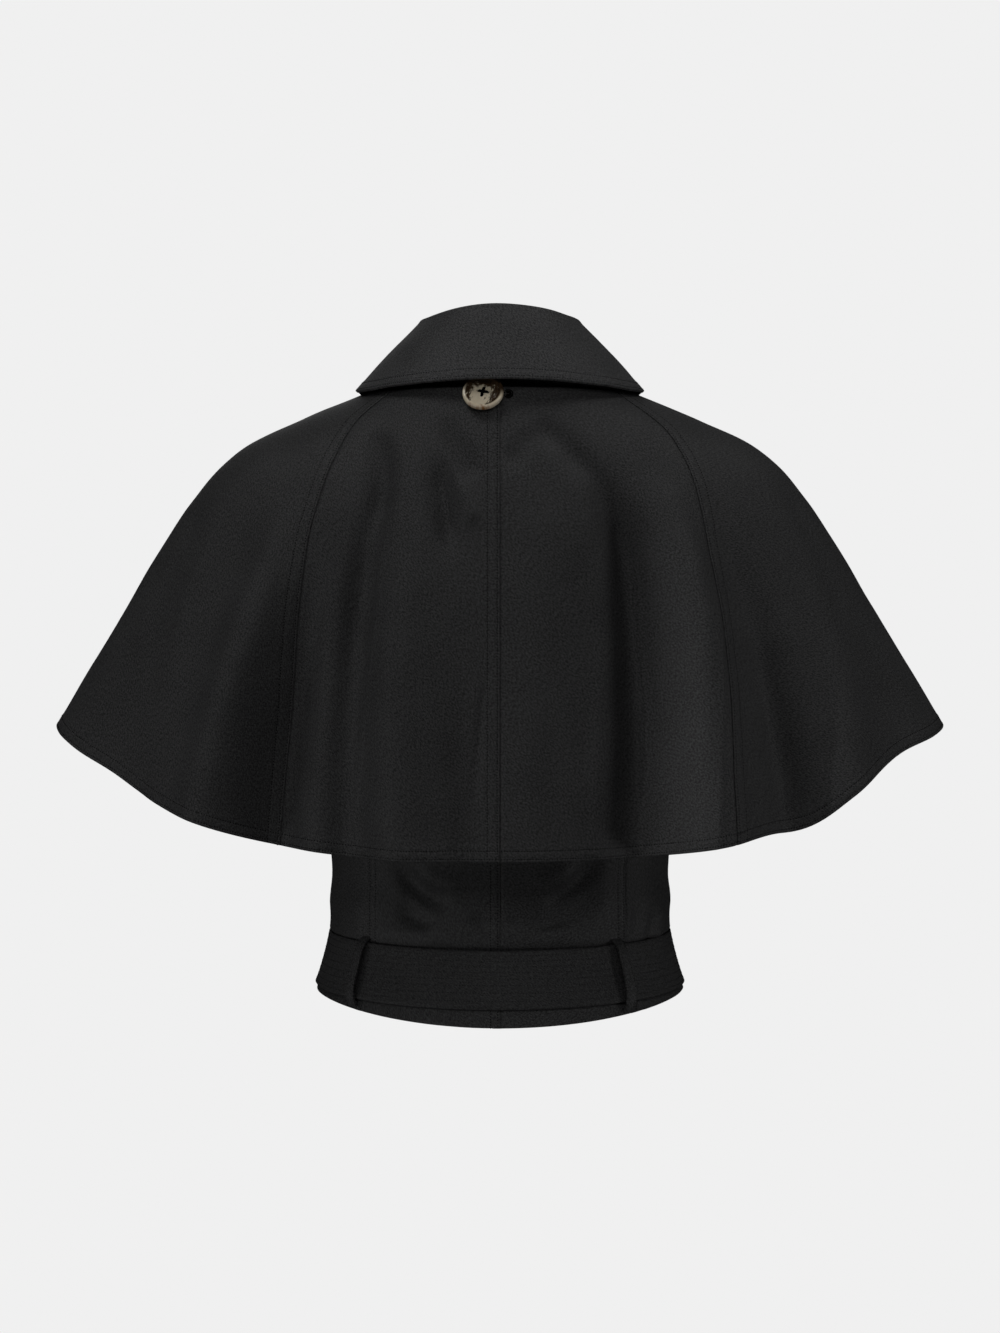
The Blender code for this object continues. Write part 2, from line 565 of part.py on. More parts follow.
def make_button(name, form, angle, share, parent):
    """A horn button on a panel, with its thread holes."""
    place = seat_matrix(form, angle, share, BUTTON_SEAT)
    button = new_piece(name, button_mesh(), "horn", parent)
    button.matrix_world = place
    cutter = bpy.data.objects.new(name + "_cutter", button_cutter())
    bpy.context.scene.collection.objects.link(cutter)
    cutter.parent = parent
    cutter.matrix_world = place
    cutter.hide_render = True
    cutter.display_type = "WIRE"
    holes = button.modifiers.new("holes", "BOOLEAN")
    holes.operation = "DIFFERENCE"
    holes.object = cutter


def make_buttons(parent):
    """The button at the nape that holds the cape, and those down the front."""
    half_width = float(read_column(CAPE_SECTIONS, "half_width", CAPE_BUTTON_SHARE))
    nape_angle = math.degrees(math.acos(CAPE_BUTTON_ACROSS / half_width))
    make_button("cape_button", smooth_cape_form, nape_angle, CAPE_BUTTON_SHARE, parent)
    for number, share in enumerate(FRONT_BUTTON_SHARES, 1):
        make_button(f"front_button_{number}", body_form, CENTRE_FRONT, share, parent)


def main():
    for old in list(bpy.data.objects):
        bpy.data.objects.remove(old, do_unlink=True)
    coat = bpy.data.objects.new("coat_origin", None)
    bpy.context.scene.collection.objects.link(coat)
    make_body(coat)
    make_cape(coat)
    make_collar(coat)
    make_belt(coat)
    make_belt_loops(coat)
    make_buckle(coat)
    make_buttons(coat)


main()
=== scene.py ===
# %% [markdown]
# # A cape trench coat
# The coat is a short, belted body with a cape over its shoulders, a turned-down collar and horn
# buttons, all in black cotton gabardine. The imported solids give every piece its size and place.
# Here each of them gets its cloth: a thin shell on the same form, with the finer creases, the
# turned edges, the rows of sewing and a woven finish.

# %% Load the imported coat
import math
from collections import namedtuple
from functools import partial

import bpy
import numpy as np
from mathutils import Matrix, Vector, noise


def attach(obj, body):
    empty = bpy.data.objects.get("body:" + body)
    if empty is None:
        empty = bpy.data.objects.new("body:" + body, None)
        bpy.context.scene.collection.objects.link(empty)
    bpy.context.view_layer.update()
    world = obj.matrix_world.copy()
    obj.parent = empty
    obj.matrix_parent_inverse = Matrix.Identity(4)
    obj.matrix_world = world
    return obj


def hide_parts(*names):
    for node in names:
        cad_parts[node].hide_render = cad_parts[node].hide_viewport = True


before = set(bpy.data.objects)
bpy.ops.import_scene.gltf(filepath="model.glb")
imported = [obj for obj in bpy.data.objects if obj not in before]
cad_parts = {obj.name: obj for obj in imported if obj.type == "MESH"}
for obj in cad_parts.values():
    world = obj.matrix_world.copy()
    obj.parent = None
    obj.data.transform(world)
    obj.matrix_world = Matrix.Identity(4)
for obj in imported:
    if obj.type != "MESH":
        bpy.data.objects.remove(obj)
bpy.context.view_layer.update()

bpy.ops.object.select_all(action="DESELECT")

# %% [markdown]
# ## The forms that the cloth lies on
# A worn garment is a set of rings round the wearer. A table gives, for a few rings from neck to
# hem, where the ring passes the side, the centre back and the centre front. A smooth curve through
# each column gives all the rings between. One could also draw the rings as curves and loft them,
# but with a table every stitch and crease can ask the same function where the cloth is.
#
# An angle runs in degrees round the wearer: 0 at the left side, 90 at the centre back, 180 at the
# right side and 270, or -90, at the centre front. A share runs from 0 at the neck to 1 at the hem.

# %% Ring tables of the body, the cape and the collar
Section = namedtuple(
    "Section", "share half_width side_height back_reach back_height front_reach front_height"
)


def metres(sizes):
    """Sizes in metres, from millimetres."""
    return [size / 1000 for size in sizes]


def rings(*rows):
    """Rows of a ring table, with all but the share in millimetres."""
    return [Section(row[0], *metres(row[1:])) for row in rows]


BODY_SECTIONS = rings(
    (0, 72, -2, 70, 10, 66, -50),
    (0.12, 120, -25.3, 95.5, -37, 87, -90),
    (0.24, 168, -50.8, 112, -87, 102, -128),
    (0.36, 167, -113, 116.5, -138, 115, -168),
    (0.48, 154, -188, 118, -192, 124, -208),
    (0.62, 144, -257, 112.5, -259, 122, -266),
    (0.75, 133, -323, 104, -323, 113, -326),
    (0.87, 127.8, -391, 98, -391, 104, -391),
    (0.935, 127.5, -425, 100.5, -426, 104.5, -426),
    (0.989, 138.6, -464.4, 115.4, -466.2, 113, -466),
    (1, 140.5, -467.5, 120, -478.5, 115, -475),
)
CAPE_SECTIONS = rings(
    (0, 104, -14.8, 90, -9.7, 83, -46),
    (0.15, 150, -33.8, 114.5, -55, 102, -91),
    (0.29, 195, -56, 130, -102, 118.5, -135),
    (0.37, 216, -74, 135.5, -130, 126, -159),
    (0.44, 231, -92.6, 139.5, -154, 131.5, -181),
    (0.53, 250, -120, 143.5, -186, 136.5, -209.5),
    (0.7, 282.5, -174, 151, -245.5, 143, -263),
    (0.85, 310, -219.5, 156.5, -297.5, 147.5, -309),
    (1, 338, -266, 162, -349.5, 152, -355),
)
COLLAR_SECTIONS = rings(
    (0, 71.2, -1.4, 69.2, 10.6, 65.2, -49.4),
    (0.2, 66, 20, 65, 33, 62, -30),
    (0.34, 56.2, 37.1, 59, 49, 58, -15),
    (0.37, 58.5, 40.5, 61.4, 52.9, 60.6, -11.8),
    (0.4, 61.5, 37.3, 64.7, 49.6, 64, -14.5),
    (0.7, 86.6, 11.5, 82, 25.5, 91.5, -42),
    (1, 108.5, -13, 99, -1, 115, -80),
)
BODY_DIP, CAPE_DIP = 2.0, 3.0
CENTRE_BACK, RIGHT_SIDE, CENTRE_FRONT, FULL_TURN = 90.0, 180.0, 270.0, 360.0
print("rings:", len(BODY_SECTIONS), "body,", len(CAPE_SECTIONS), "cape,", len(COLLAR_SECTIONS), "collar")

# %% Points and normals of a form
ANGLE_STEP, SHARE_STEP = 0.5, 0.004
WAIST_SHARE = 0.87


def through(stations, values, at):
    """A smooth curve through values at stations, read anywhere between them."""
    stations, values, at = (np.asarray(x, float) for x in (stations, values, at))
    slopes = np.gradient(values, stations)
    row = np.clip(np.searchsorted(stations, at, side="right") - 1, 0, len(stations) - 2)
    span = stations[row + 1] - stations[row]
    part = (at - stations[row]) / span
    start, end = (1 + 2 * part) * (1 - part) ** 2, part ** 2 * (3 - 2 * part)
    leave, arrive = part * (1 - part) ** 2 * span, part ** 2 * (part - 1) * span
    return (start * values[row] + end * values[row + 1]
            + leave * slopes[row] + arrive * slopes[row + 1])


def read_column(rows, column, share):
    """A column of a table at any share."""
    return through([row.share for row in rows], [getattr(row, column) for row in rows], share)


def ease(part):
    """A smooth step from 0 to 1."""
    part = np.clip(part, 0.0, 1.0)
    return part * part * (3 - 2 * part)


def bell(value, middle, width):
    """A smooth swell, 1 at its middle, which fades out on both sides."""
    return np.exp(-((value - middle) / width) ** 2)


def ring_form(sections, dip_power, angle, share):
    """Points of a form: an oval ring at each share, which dips from its sides to back and front."""
    ring = Section(share, *(read_column(sections, name, share) for name in Section._fields[1:]))
    turn = np.radians(angle)
    back = np.sin(turn) >= 0
    reach = np.where(back, ring.back_reach, ring.front_reach)
    height = np.where(back, ring.back_height, ring.front_height)
    dip = (height - ring.side_height) * (1 - np.abs(np.cos(turn)) ** dip_power)
    return np.stack([ring.half_width * np.cos(turn), reach * np.sin(turn), ring.side_height + dip], axis=-1)


def unit(vectors):
    """The same directions, at length 1."""
    return vectors / np.linalg.norm(vectors, axis=-1, keepdims=True)


def outward(form, angle, share):
    """Unit normals of a form, away from the wearer."""
    along = form(angle + ANGLE_STEP, share) - form(angle - ANGLE_STEP, share)
    above, below = np.maximum(share - SHARE_STEP, 0.0), np.minimum(share + SHARE_STEP, 1.0)
    return unit(np.cross(form(angle, below) - form(angle, above), along))


def moved_out(form, angle, share, distance):
    """Points of a form, moved away from the wearer."""
    return form(angle, share) + outward(form, angle, share) * np.asarray(distance)[..., None]


def run_length(points, axis=0):
    """Lengths from the start of a line of points, or along one axis of a grid of them."""
    steps = np.linalg.norm(np.diff(points, axis=axis), axis=-1)
    return np.insert(np.cumsum(steps, axis=axis), 0, 0.0, axis=axis)


body_form = partial(ring_form, BODY_SECTIONS, BODY_DIP)
collar_form = partial(ring_form, COLLAR_SECTIONS, BODY_DIP)
smooth_cape_form = partial(ring_form, CAPE_SECTIONS, CAPE_DIP)
waist = body_form(np.arange(FULL_TURN + 1), np.full(int(FULL_TURN) + 1, WAIST_SHARE))
print("waist, round the outside:", round(float(run_length(waist)[-1]), 3), "m")

# %% [markdown]
# ## The large folds of the cape
# The cape is cut much wider at its hem than at its neck, so it falls into folds that start below
# the shoulder blades and deepen downwards. Each row is one fold: a ridge where its depth is
# outwards, a trough where it is inwards. They are the same folds that the solids have, so the
# shell lies on them.

# %% Fold table and the folded cape
Fold = namedtuple("Fold", "start full start_angle hem_angle spread depth hem_raise")
CAPE_FOLDS = [Fold(*row[:5], *metres(row[5:])) for row in (
    (0.5, 1, 17, 31, 9, -6, 4.2),
    (0.45, 0.9, 31, 42, 5, 4, 0),
    (0.26, 0.8, 41, 49.5, 4.6, 18, 0),
    (0.28, 0.8, 52.5, 60.5, 4.6, -25, 0),
    (0.14, 0.55, 60, 70.5, 3.8, -15, 0),
    (0.18, 0.65, 69.5, 78, 4.4, 11, -1),
    (0.4, 0.9, 83, 85.5, 2.6, -4, 0),
    (0.4, 0.9, 95, 93.5, 5, 5, 0),
    (0.12, 0.5, 119, 107.5, 5, -24, 0),
    (0.2, 0.6, 130, 118, 5, 22, -1),
    (0.4, 0.9, 139, 130.5, 4, -15, 0),
    (0.42, 1, 160, 141, 5, 7.5, 0),
    (0.42, 1, 157, 133, 5, 0, -6.5),
    (0.4, 1, 171, 155, 9, -7, 0),
    (0.4, 1, 168, 152, 12, 0, 11),
    (0.42, 1, 205, 208, 7, -7, 3),
    (0.38, 1, 222, 226, 6, 8, -3),
    (0.35, 1, 232, 238, 5, -9, 3),
    (0.4, 1, 240, 249, 5, 6, -2),
    (0.38, 1, 300, 292, 5, 7, -2),
    (0.35, 1, 308, 303, 5.5, -10, 3),
    (0.4, 1, 318, 316, 6, 8, -3),
    (0.42, 1, 334, 332, 7, -6, 3),
)]


def cape_form(angle, share):
    """The outside of the cape with its large folds, which deepen towards the hem."""
    angle, share = np.broadcast_arrays(np.asarray(angle, float), np.asarray(share, float))
    depth, height = np.zeros(angle.shape), np.zeros(angle.shape)
    for fold in CAPE_FOLDS:
        run = (share - fold.start) / (1.0 - fold.start)
        middle = fold.start_angle + (fold.hem_angle - fold.start_angle) * run
        away = (angle - middle + RIGHT_SIDE) % FULL_TURN - RIGHT_SIDE
        swell = bell(away, 0.0, fold.spread)
        depth += fold.depth * swell * ease((share - fold.start) / (fold.full - fold.start))
        height += fold.hem_raise * swell * ease(run)
    points = moved_out(smooth_cape_form, angle, share, depth)
    points[..., 2] += height
    return points


print(len(CAPE_FOLDS), "folds, the deepest", 1000 * max(abs(f.depth) for f in CAPE_FOLDS), "mm")

# %% [markdown]
# ## Creases
# Between the large folds the cloth has smaller creases: drag lines from the shoulder blades, sharp
# edges where it was pressed, and hollows beside the seams. A cloth simulation would put them where
# it likes, so they are placed one by one. A crease is a line over the form with a soft trough or ridge
# along it, which may be steeper on one side and may fade out at its ends.

# %% Crease lines
Crease = namedtuple("Crease", "left right depth path start end", defaults=(0, 0))
CREASE_POINTS, CREASE_FADE, CREASE_REACH = 40, 0.35, 3


def creases(*rows):
    """Rows of creases, with their two widths and their depth in millimetres."""
    return [Crease(*metres(row[:3]), *row[3:]) for row in rows]


def crease_depth(creases, form, angle, share):
    """How far the creases move the cloth out, at each point of a form."""
    points, facing = form(angle, share), outward(form, angle, share)
    total = np.zeros(points.shape[:-1])
    run = np.linspace(0.0, 1.0, CREASE_POINTS)
    for crease in creases:
        stations = np.linspace(0.0, 1.0, len(crease.path))
        angles, shares = (through(stations, values, run) for values in zip(*crease.path))
        line = form(angles, np.clip(shares, 0.0, 1.0))
        heading = unit(np.gradient(line, axis=0))
        strength = np.minimum(crease.start + (1 - crease.start) * ease(run / CREASE_FADE),
                              crease.end + (1 - crease.end) * ease((1 - run) / CREASE_FADE))
        reach = CREASE_REACH * max(crease.left, crease.right)
        near = np.all((points > line.min(axis=0) - reach) & (points < line.max(axis=0) + reach), axis=-1)
        place = points[near]
        if not len(place):
            continue
        offset = place[:, None, :] - line[None]
        nearest = np.argmin(np.einsum("ijk,ijk->ij", offset, offset), axis=1)
        offset, along = offset[np.arange(len(place)), nearest], heading[nearest]
        past = np.sum(offset * along, axis=-1)
        beyond = (nearest == 0) & (past < 0) | (nearest == len(line) - 1) & (past > 0)
        across = offset - along * np.where(beyond, 0.0, past)[:, None]
        side = np.sum(np.cross(facing[near], along) * across, axis=-1)
        width = np.where(side > 0, crease.right, crease.left)
        distance = np.linalg.norm(across, axis=-1)
        total[near] += crease.depth * strength[nearest] * bell(distance, 0.0, width)
    return total


CAPE_CREASES = creases(
    # Left back: the fold that starts at the shoulder seam, the hollow below the blade, drag lines
    (9, 10, -6.8, ((44, 0.11), (55, 0.165), (61, 0.25), (64, 0.37))),
    (11, 8, -8, ((72.5, 0.14), (77.5, 0.26), (81.5, 0.38))),
    (7, 9, -4.8, ((69, 0.06), (79, 0.15), (84, 0.22))),
    (8, 6, 3.2, ((80, 0.19), (83, 0.26), (85.5, 0.31))),
    (12, 12, -1.6, ((80, 0.55), (82, 0.75), (82.4, 0.92))),
    (4, 3, -1.6, ((88, 0.58), (87.2, 0.72), (86.3, 0.93))),
    (2.2, 3, 0.9, ((64.8, 0.27), (67.8, 0.48), (69.2, 0.725), (70.8, 1)), 0, 1),
    # Right back
    (13, 9, -5.8, ((98, 0.085), (105.5, 0.1), (111, 0.15), (113.5, 0.22))),
    (16, 8, -5.4, ((110, 0.12), (115, 0.21), (117, 0.32), (116.5, 0.46))),
    (9, 9, -4, ((91, 0.19), (96, 0.14), (101, 0.08))),
    (24, 12, -6.2, ((110, 0.3), (106, 0.5), (102.5, 0.72), (100, 1)), 0, 1),
    (2.8, 2, 1, ((131, 0.45), (126.5, 0.59), (121, 0.805), (117, 1)), 0, 1),
    (12, 12, -1.4, ((99, 0.52), (100, 0.72), (100, 0.9))),
    # Left shoulder panel
    (3, 4, -1.2, ((37.5, 0.195), (34.5, 0.25), (32, 0.29))),
    (12, 10, 2, ((41, 0.32), (46.5, 0.52), (49, 0.7))),
    (9, 9, -1.4, ((33, 0.6), (37, 0.78), (38, 1)), 0, 1),
    (5, 6, 1, ((24, 0.42), (28, 0.6), (33, 0.8))),
    (10, 10, -1.2, ((12, 0.36), (19, 0.56), (24, 0.76))),
    (12, 12, 1.2, ((4, 0.48), (9, 0.76), (12, 1)), 0, 1),
    # Right shoulder panel
    (10, 9, -1.6, ((141, 0.26), (138, 0.42), (135, 0.6))),
    (8, 10, 1.2, ((156, 0.48), (147, 0.7), (140.6, 1)), 0, 1),
    (10, 10, -1.4, ((166, 0.34), (161, 0.54), (154, 0.74))),
    (10, 10, -1.2, ((176, 0.5), (172, 0.76), (168, 1)), 0, 1),
    # Front halves
    (10, 8, -2, ((230, 0.12), (236, 0.24), (238, 0.38))),
    (4, 3, 0.9, ((228, 0.42), (231, 0.68), (232, 1)), 0, 1),
    (10, 10, -1.4, ((198, 0.36), (202, 0.58), (205, 0.8))),
    (9, 9, 1.2, ((214, 0.46), (216, 0.72), (217, 1)), 0, 1),
    (8, 10, -2, ((310, 0.12), (305, 0.24), (303, 0.38))),
    (3, 4, 0.9, ((312, 0.42), (309, 0.68), (308, 1)), 0, 1),
    (10, 10, -1.4, ((342, 0.36), (338, 0.58), (336, 0.8))),
    (9, 9, 1.2, ((326, 0.46), (324, 0.72), (323, 1)), 0, 1),
)
BODY_CREASES = creases(
    # Drag lines at the waist, above the belt
    (8, 9, -5.4, ((50, 0.8), (58, 0.84), (66, 0.862), (76, 0.868))),
    (7, 8, -4.2, ((52, 0.865), (60, 0.893), (68, 0.905))),
    (6, 8, 3.1, ((60, 0.825), (70, 0.84), (80, 0.845))),
    (5, 6, -3.4, ((78, 0.885), (84, 0.9), (88, 0.92))),
    (6, 7, -5.4, ((102, 0.872), (111, 0.86), (120, 0.833), (128, 0.8))),
    (5, 8, -4.2, ((97, 0.905), (108, 0.898), (119, 0.878), (129, 0.85))),
    (6, 8, 3.1, ((98, 0.84), (108, 0.835), (118, 0.81))),
    (4, 4, 1.6, ((138.5, 0.86), (138, 0.9), (137, 0.935))),
    (4, 4, -1.6, ((143, 0.86), (143, 0.9), (142, 0.935))),
    (4, 5, 2.6, ((161, 0.885), (159, 0.91), (158, 0.932)), 0, 1),
    (5, 3, -2, ((155, 0.895), (153, 0.915), (152, 0.932)), 0, 1),
    (2.2, 2.2, -1.4, ((142, 0.984), (142, 1)), 1, 1),
    (2.2, 2.2, -1.2, ((146, 0.984), (146, 1)), 1, 1),
    (4, 4, 1.2, ((33, 0.87), (34, 0.905), (34.5, 0.935))),
    (6, 6, -1.4, ((230, 0.84), (242, 0.87), (252, 0.88))),
    (6, 6, -1.4, ((312, 0.83), (302, 0.865), (291, 0.88))),
    (8, 8, -1.4, ((216, 0.7), (228, 0.76), (238, 0.78))),
    (8, 8, -1.4, ((326, 0.69), (314, 0.755), (304, 0.775))),
)
COLLAR_CREASES = creases(
    (10, 12, -0.7, ((76, 0.48), (86, 0.62), (95, 0.78))),
    (12, 10, -0.6, ((104, 0.5), (112, 0.66), (116, 0.84))),
    (8, 8, -0.6, ((30, 0.6), (36, 0.75), (42, 0.86))),
)
print(len(CAPE_CREASES), "creases on the cape,", len(BODY_CREASES), "on the body")

# %% [markdown]
# ## From a cut panel to a sheet of cloth
# A panel is a grid of points between two cutting lines. The grid is close beside a sewn or turned
# edge, where the cloth rolls over and the stitches pull a groove, and wider over the rest. One
# could instead subdivide evenly until the smallest groove shows, but that would cost ten times as
# many faces.

# %% Points across a panel
GROOVE_HALF, UNDERLAP = 0.0006, 0.0060
EDGE_MARKS, PAST_ROWS, LEAST_STEP = (0.00015, 0.0005, 0.0011), 0.0025, 0.0003
UNDER_MARKS = np.array([0.0002, 0.0025, 0.0045, 0.0055, 0.0062, 0.0070, 0.0080, 0.0095])
FINE = np.linspace(0.0, 1.0, 121)


def last_row(rows):
    """The distance of an edge's innermost stitch row, or 0 where it has none."""
    return rows[-1] if rows else 0.0


def near_edge(rows):
    """Distances in from an edge where a sheet needs points: its turned edge and each stitch row."""
    grooves = [row + side * GROOVE_HALF for row in rows for side in (-1, 0, 1)]
    kept = []
    for mark in sorted([*EDGE_MARKS, *grooves, last_row(rows) + PAST_ROWS]):
        if not kept or mark - kept[-1] > LEAST_STEP:
            kept.append(mark)
    return np.array(kept)


def arc_columns(form, first, last, share, near_first, near_last, step):
    """Angles of a panel's columns in each row, with their distances from its two edges."""
    angles = first[:, None] + (last - first)[:, None] * FINE
    lengths = run_length(form(angles, np.broadcast_to(share[:, None], angles.shape)), axis=1)
    width = lengths[:, -1:]
    inner = max(3, math.ceil(float(width.max()) / step))
    part = np.linspace(0.0, 1.0, inner + 1)[1:-1]
    middle = near_first[-1] + (width - near_first[-1] - near_last[-1]) * part
    spots = np.concatenate([np.tile(near_first, (len(share), 1)), middle, width - near_last[::-1]], axis=1)
    across = np.stack([np.interp(s, l, a) for s, l, a in zip(spots, lengths, angles)])
    return across, spots, width - spots


def degrees_for(form, angle, share, distance):
    """How many degrees round a form a distance is."""
    step = form(angle + ANGLE_STEP, share) - form(angle - ANGLE_STEP, share)
    return distance * 2 * ANGLE_STEP / np.linalg.norm(step, axis=-1)


def panel_columns(form, first, last, share, kinds, rows, step):
    """Columns of a panel, run on below its neighbour wherever its edge is lapped over."""
    edges, marks = [], []
    for line, kind, way in ((first, kinds[0], -1), (last, kinds[1], 1)):
        under = kind == "under"
        edges.append(line + way * degrees_for(form, line, share, UNDERLAP) if under else line)
        marks.append(UNDER_MARKS if under else near_edge(rows))
    angle, *distances = arc_columns(form, *edges, share, *marks, step)
    return angle, [far - UNDERLAP * (kind == "under") for far, kind in zip(distances, kinds)]


print("points beside an edge with two rows:", len(near_edge((0.0020, 0.0092))))

# %% Relief of a sewn or turned edge
LAP_RISE, LAP_PAST, LAP_FADE = 0.0004, 0.0006, 0.0024
ROLL_DEPTH, ROLL_WIDTH, GROOVE_DEPTH = 0.0006, 0.0010, 0.00030
UNDER_DIP, UNDER_START, UNDER_WIDTH = 0.0009, 0.0008, 0.0034


def edge_relief(distance, kind, rows):
    """How far a sheet stands out beside an edge, which is turned, or runs in under a neighbour."""
    if kind == "under":
        return -UNDER_DIP * (1 - ease((distance + UNDER_START) / UNDER_WIDTH))
    relief = LAP_RISE * (1 - ease((distance - last_row(rows) - LAP_PAST) / LAP_FADE))
    relief -= ROLL_DEPTH * (1 - ease(distance / ROLL_WIDTH))
    for row in rows:
        relief -= GROOVE_DEPTH * bell(distance, row, GROOVE_HALF)
    return relief


def panel_grid(part, form, line_of, shares, rows, step):
    """A panel's angles and shares, its distances from both edges and the relief beside them."""
    first, last, kinds = line_of(part.first, shares), line_of(part.last, shares), part.kinds
    angle, distances = panel_columns(form, first, last, shares, kinds, rows, step)
    relief = sum(edge_relief(far, kind, rows) for far, kind in zip(distances, kinds))
    return angle, np.broadcast_to(shares[:, None], angle.shape), distances, relief


def grid_normals(points):
    """Unit normals of a grid of points, rows down the form and columns round it."""
    return unit(np.cross(np.gradient(points, axis=0), np.gradient(points, axis=1)))


def ripple(points, *waves):
    """The faint unevenness that all woven cloth has, in waves of a size and a height."""
    flat = points.reshape(-1, 3)
    return sum(height * np.array([noise.noise(Vector(p)) for p in flat / size]).reshape(points.shape[:-1])
               for size, height in waves)


def sewn_lines(outside, normals, distances, rows):
    """Lines down a sheet at each stitch row's distance from an edge, with their normals."""
    columns = [int(np.argmin(np.abs(distances[0] - row))) for row in rows]
    return [(outside[:, column], normals[:, column]) for column in columns]


def sewn_across(outside, normals, distances, rows, kept):
    """Lines across a sheet, along an upper or lower edge, over the columns that are kept."""
    return sewn_lines(*(grid.swapaxes(0, 1)[kept] for grid in (outside, normals, distances)), rows)


def seam_lines(part, outside, normals, distances, rows):
    """Stitch lines beside those edges of a panel that lap over a neighbour."""
    return [line for kind, far in zip(part.kinds, distances) if kind == "over"
            for line in sewn_lines(outside, normals, far, rows)]


print("a lapped edge rises", LAP_RISE * 1000, "mm and rolls under by", ROLL_DEPTH * 1000, "mm")

# %% A closed shell from its outer and inner points
CUT_MAP = "cut"
SHARP_ANGLE = math.radians(50)


def new_mesh(name, points, faces):
    """A mesh from any array of points and a list of faces."""
    mesh = bpy.data.meshes.new(name)
    mesh.from_pydata(np.reshape(points, (-1, 3)).tolist(), [], faces)
    mesh.update()
    return mesh


def shell_mesh(name, outside, inside):
    """A wall between two grids of points, with a flat map of the cloth in metres."""
    rows, columns = outside.shape[:2]
    index = np.arange(rows * columns).reshape(rows, columns)
    face = np.stack([index[:-1, :-1], index[1:, :-1], index[1:, 1:], index[:-1, 1:]], axis=-1).reshape(-1, 4)
    rim = np.concatenate([index[:-1, 0], index[-1, :-1], index[:0:-1, -1], index[0, :0:-1]])
    after, below = np.roll(rim, -1), rows * columns
    edge = np.stack([after, rim, rim + below, after + below], axis=-1)
    faces = np.concatenate([face, face[:, ::-1] + below, edge])
    mesh = new_mesh(name, np.stack([outside, inside]), faces.tolist())
    across = run_length(outside, axis=1)
    across -= across[:, columns // 2][:, None]
    flat = np.stack([across, run_length(outside)], axis=-1).reshape(-1, 2)
    layer = mesh.uv_layers.new(name=CUT_MAP)
    layer.data.foreach_set("uv", np.concatenate([flat, flat])[faces.reshape(-1)].reshape(-1))
    return mesh


def place_piece(name, mesh, finish, replaces=()):
    """Link a finished mesh as a piece of the coat."""
    mesh.materials.append(finish)
    mesh.shade_smooth()
    mesh.set_sharp_from_angle(angle=SHARP_ANGLE)
    piece = bpy.data.objects.new(name, mesh)
    bpy.context.scene.collection.objects.link(piece)
    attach(piece, "root")
    if replaces:
        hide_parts(*replaces)
    return piece


def lay_shell(node, cloth, relief, thickness, finish):
    """A shell that stands for a solid, its outside moved out from the cloth's form by a relief."""
    normals = grid_normals(cloth)
    outside = cloth + normals * relief[..., None]
    mesh = shell_mesh(node + "_cloth", outside, outside - normals * thickness)
    return place_piece(node + "_cloth", mesh, finish, (node,)), outside, normals


def cloth_piece(node, cloth, relief, thickness, finish):
    """A sheet of cloth that stands for a solid, with the points and normals of its outside."""
    piece, outside, normals = lay_shell(node, cloth, relief, thickness, finish)
    return outside, normals


# %% [markdown]
# ## Black gabardine
# Gabardine is a close twill: steep diagonal ribs, dull in the hollows and faintly glossy on the
# yarn. The finish is built from nodes on the cloth's own flat map, so the ribs follow each panel's
# grain: a noise stretched along the ribs, a fine noise for the yarn and a broad noise for the
# uneven black of worn cotton.

# %% Tools for finishes
def put(tree, socket, value):
    """Give an input a number or a colour, or link another node's output to it."""
    if isinstance(value, bpy.types.NodeSocket):
        tree.links.new(value, socket)
    else:
        socket.default_value = value


def add_node(tree, kind, **settings):
    """Add a shader node, and set or link its inputs and properties by name."""
    made = tree.nodes.new("ShaderNode" + kind)
    for key, value in settings.items():
        name = key.replace("_", " ").title()
        if name in made.inputs:
            put(tree, made.inputs[name], value)
        else:
            setattr(made, key, value)
    return made


def grain(tree, place, **settings):
    """A cloudy noise over a place."""
    return add_node(tree, "TexNoise", vector=place, **settings).outputs["Fac"]


def spread(tree, value, **ends):
    """A value moved from one range to another."""
    return add_node(tree, "MapRange", value=value, **ends).outputs[0]


def bump(tree, height, **settings):
    """A fine relief in the shading alone."""
    return add_node(tree, "Bump", height=height, **settings).outputs[0]


def blend(tree, kind, a, b):
    """Combine two values, or a value and a number, by one step of arithmetic."""
    made = add_node(tree, "Math", operation=kind)
    for socket, value in zip(made.inputs, (a, b)):
        put(tree, socket, value)
    return made.outputs[0]


def weighted(tree, a, share, b):
    """A share of one value and the rest of another."""
    return blend(tree, "ADD", blend(tree, "MULTIPLY", a, share), blend(tree, "MULTIPLY", b, 1 - share))


def mix_colours(tree, factor, a, b):
    """Mix two colours, or colour outputs, by a factor."""
    made = add_node(tree, "Mix", data_type="RGBA", factor=factor)
    sockets = [s for s in made.inputs if s.type == "RGBA"]
    for socket, colour in zip(sockets, (a, b)):
        put(tree, socket, (*colour, 1.0) if isinstance(colour, tuple) else colour)
    return [s for s in made.outputs if s.type == "RGBA"][0]


def new_finish(name):
    """A new material with its node tree and its Principled shader."""
    finish = bpy.data.materials.new(name)
    finish.use_nodes = True
    return finish, finish.node_tree, finish.node_tree.nodes["Principled BSDF"]


def feed(tree, shader, inputs):
    """Give a shader its inputs by their names."""
    for name, value in inputs.items():
        put(tree, shader.inputs[name], value)


# %% Cloth finish
RIB_LEAN, RIB_SIZE = math.radians(48), (0.0026, 0.0007, 1.0)
YARN_SCALE, BROAD_SCALE = 850.0, 24.0
RIB_SHARE, WEAVE_SHARE = 0.6, 0.93
TONE_LOW, TONE_HIGH, GLOSS_SPREAD = 0.41, 0.59, 0.08


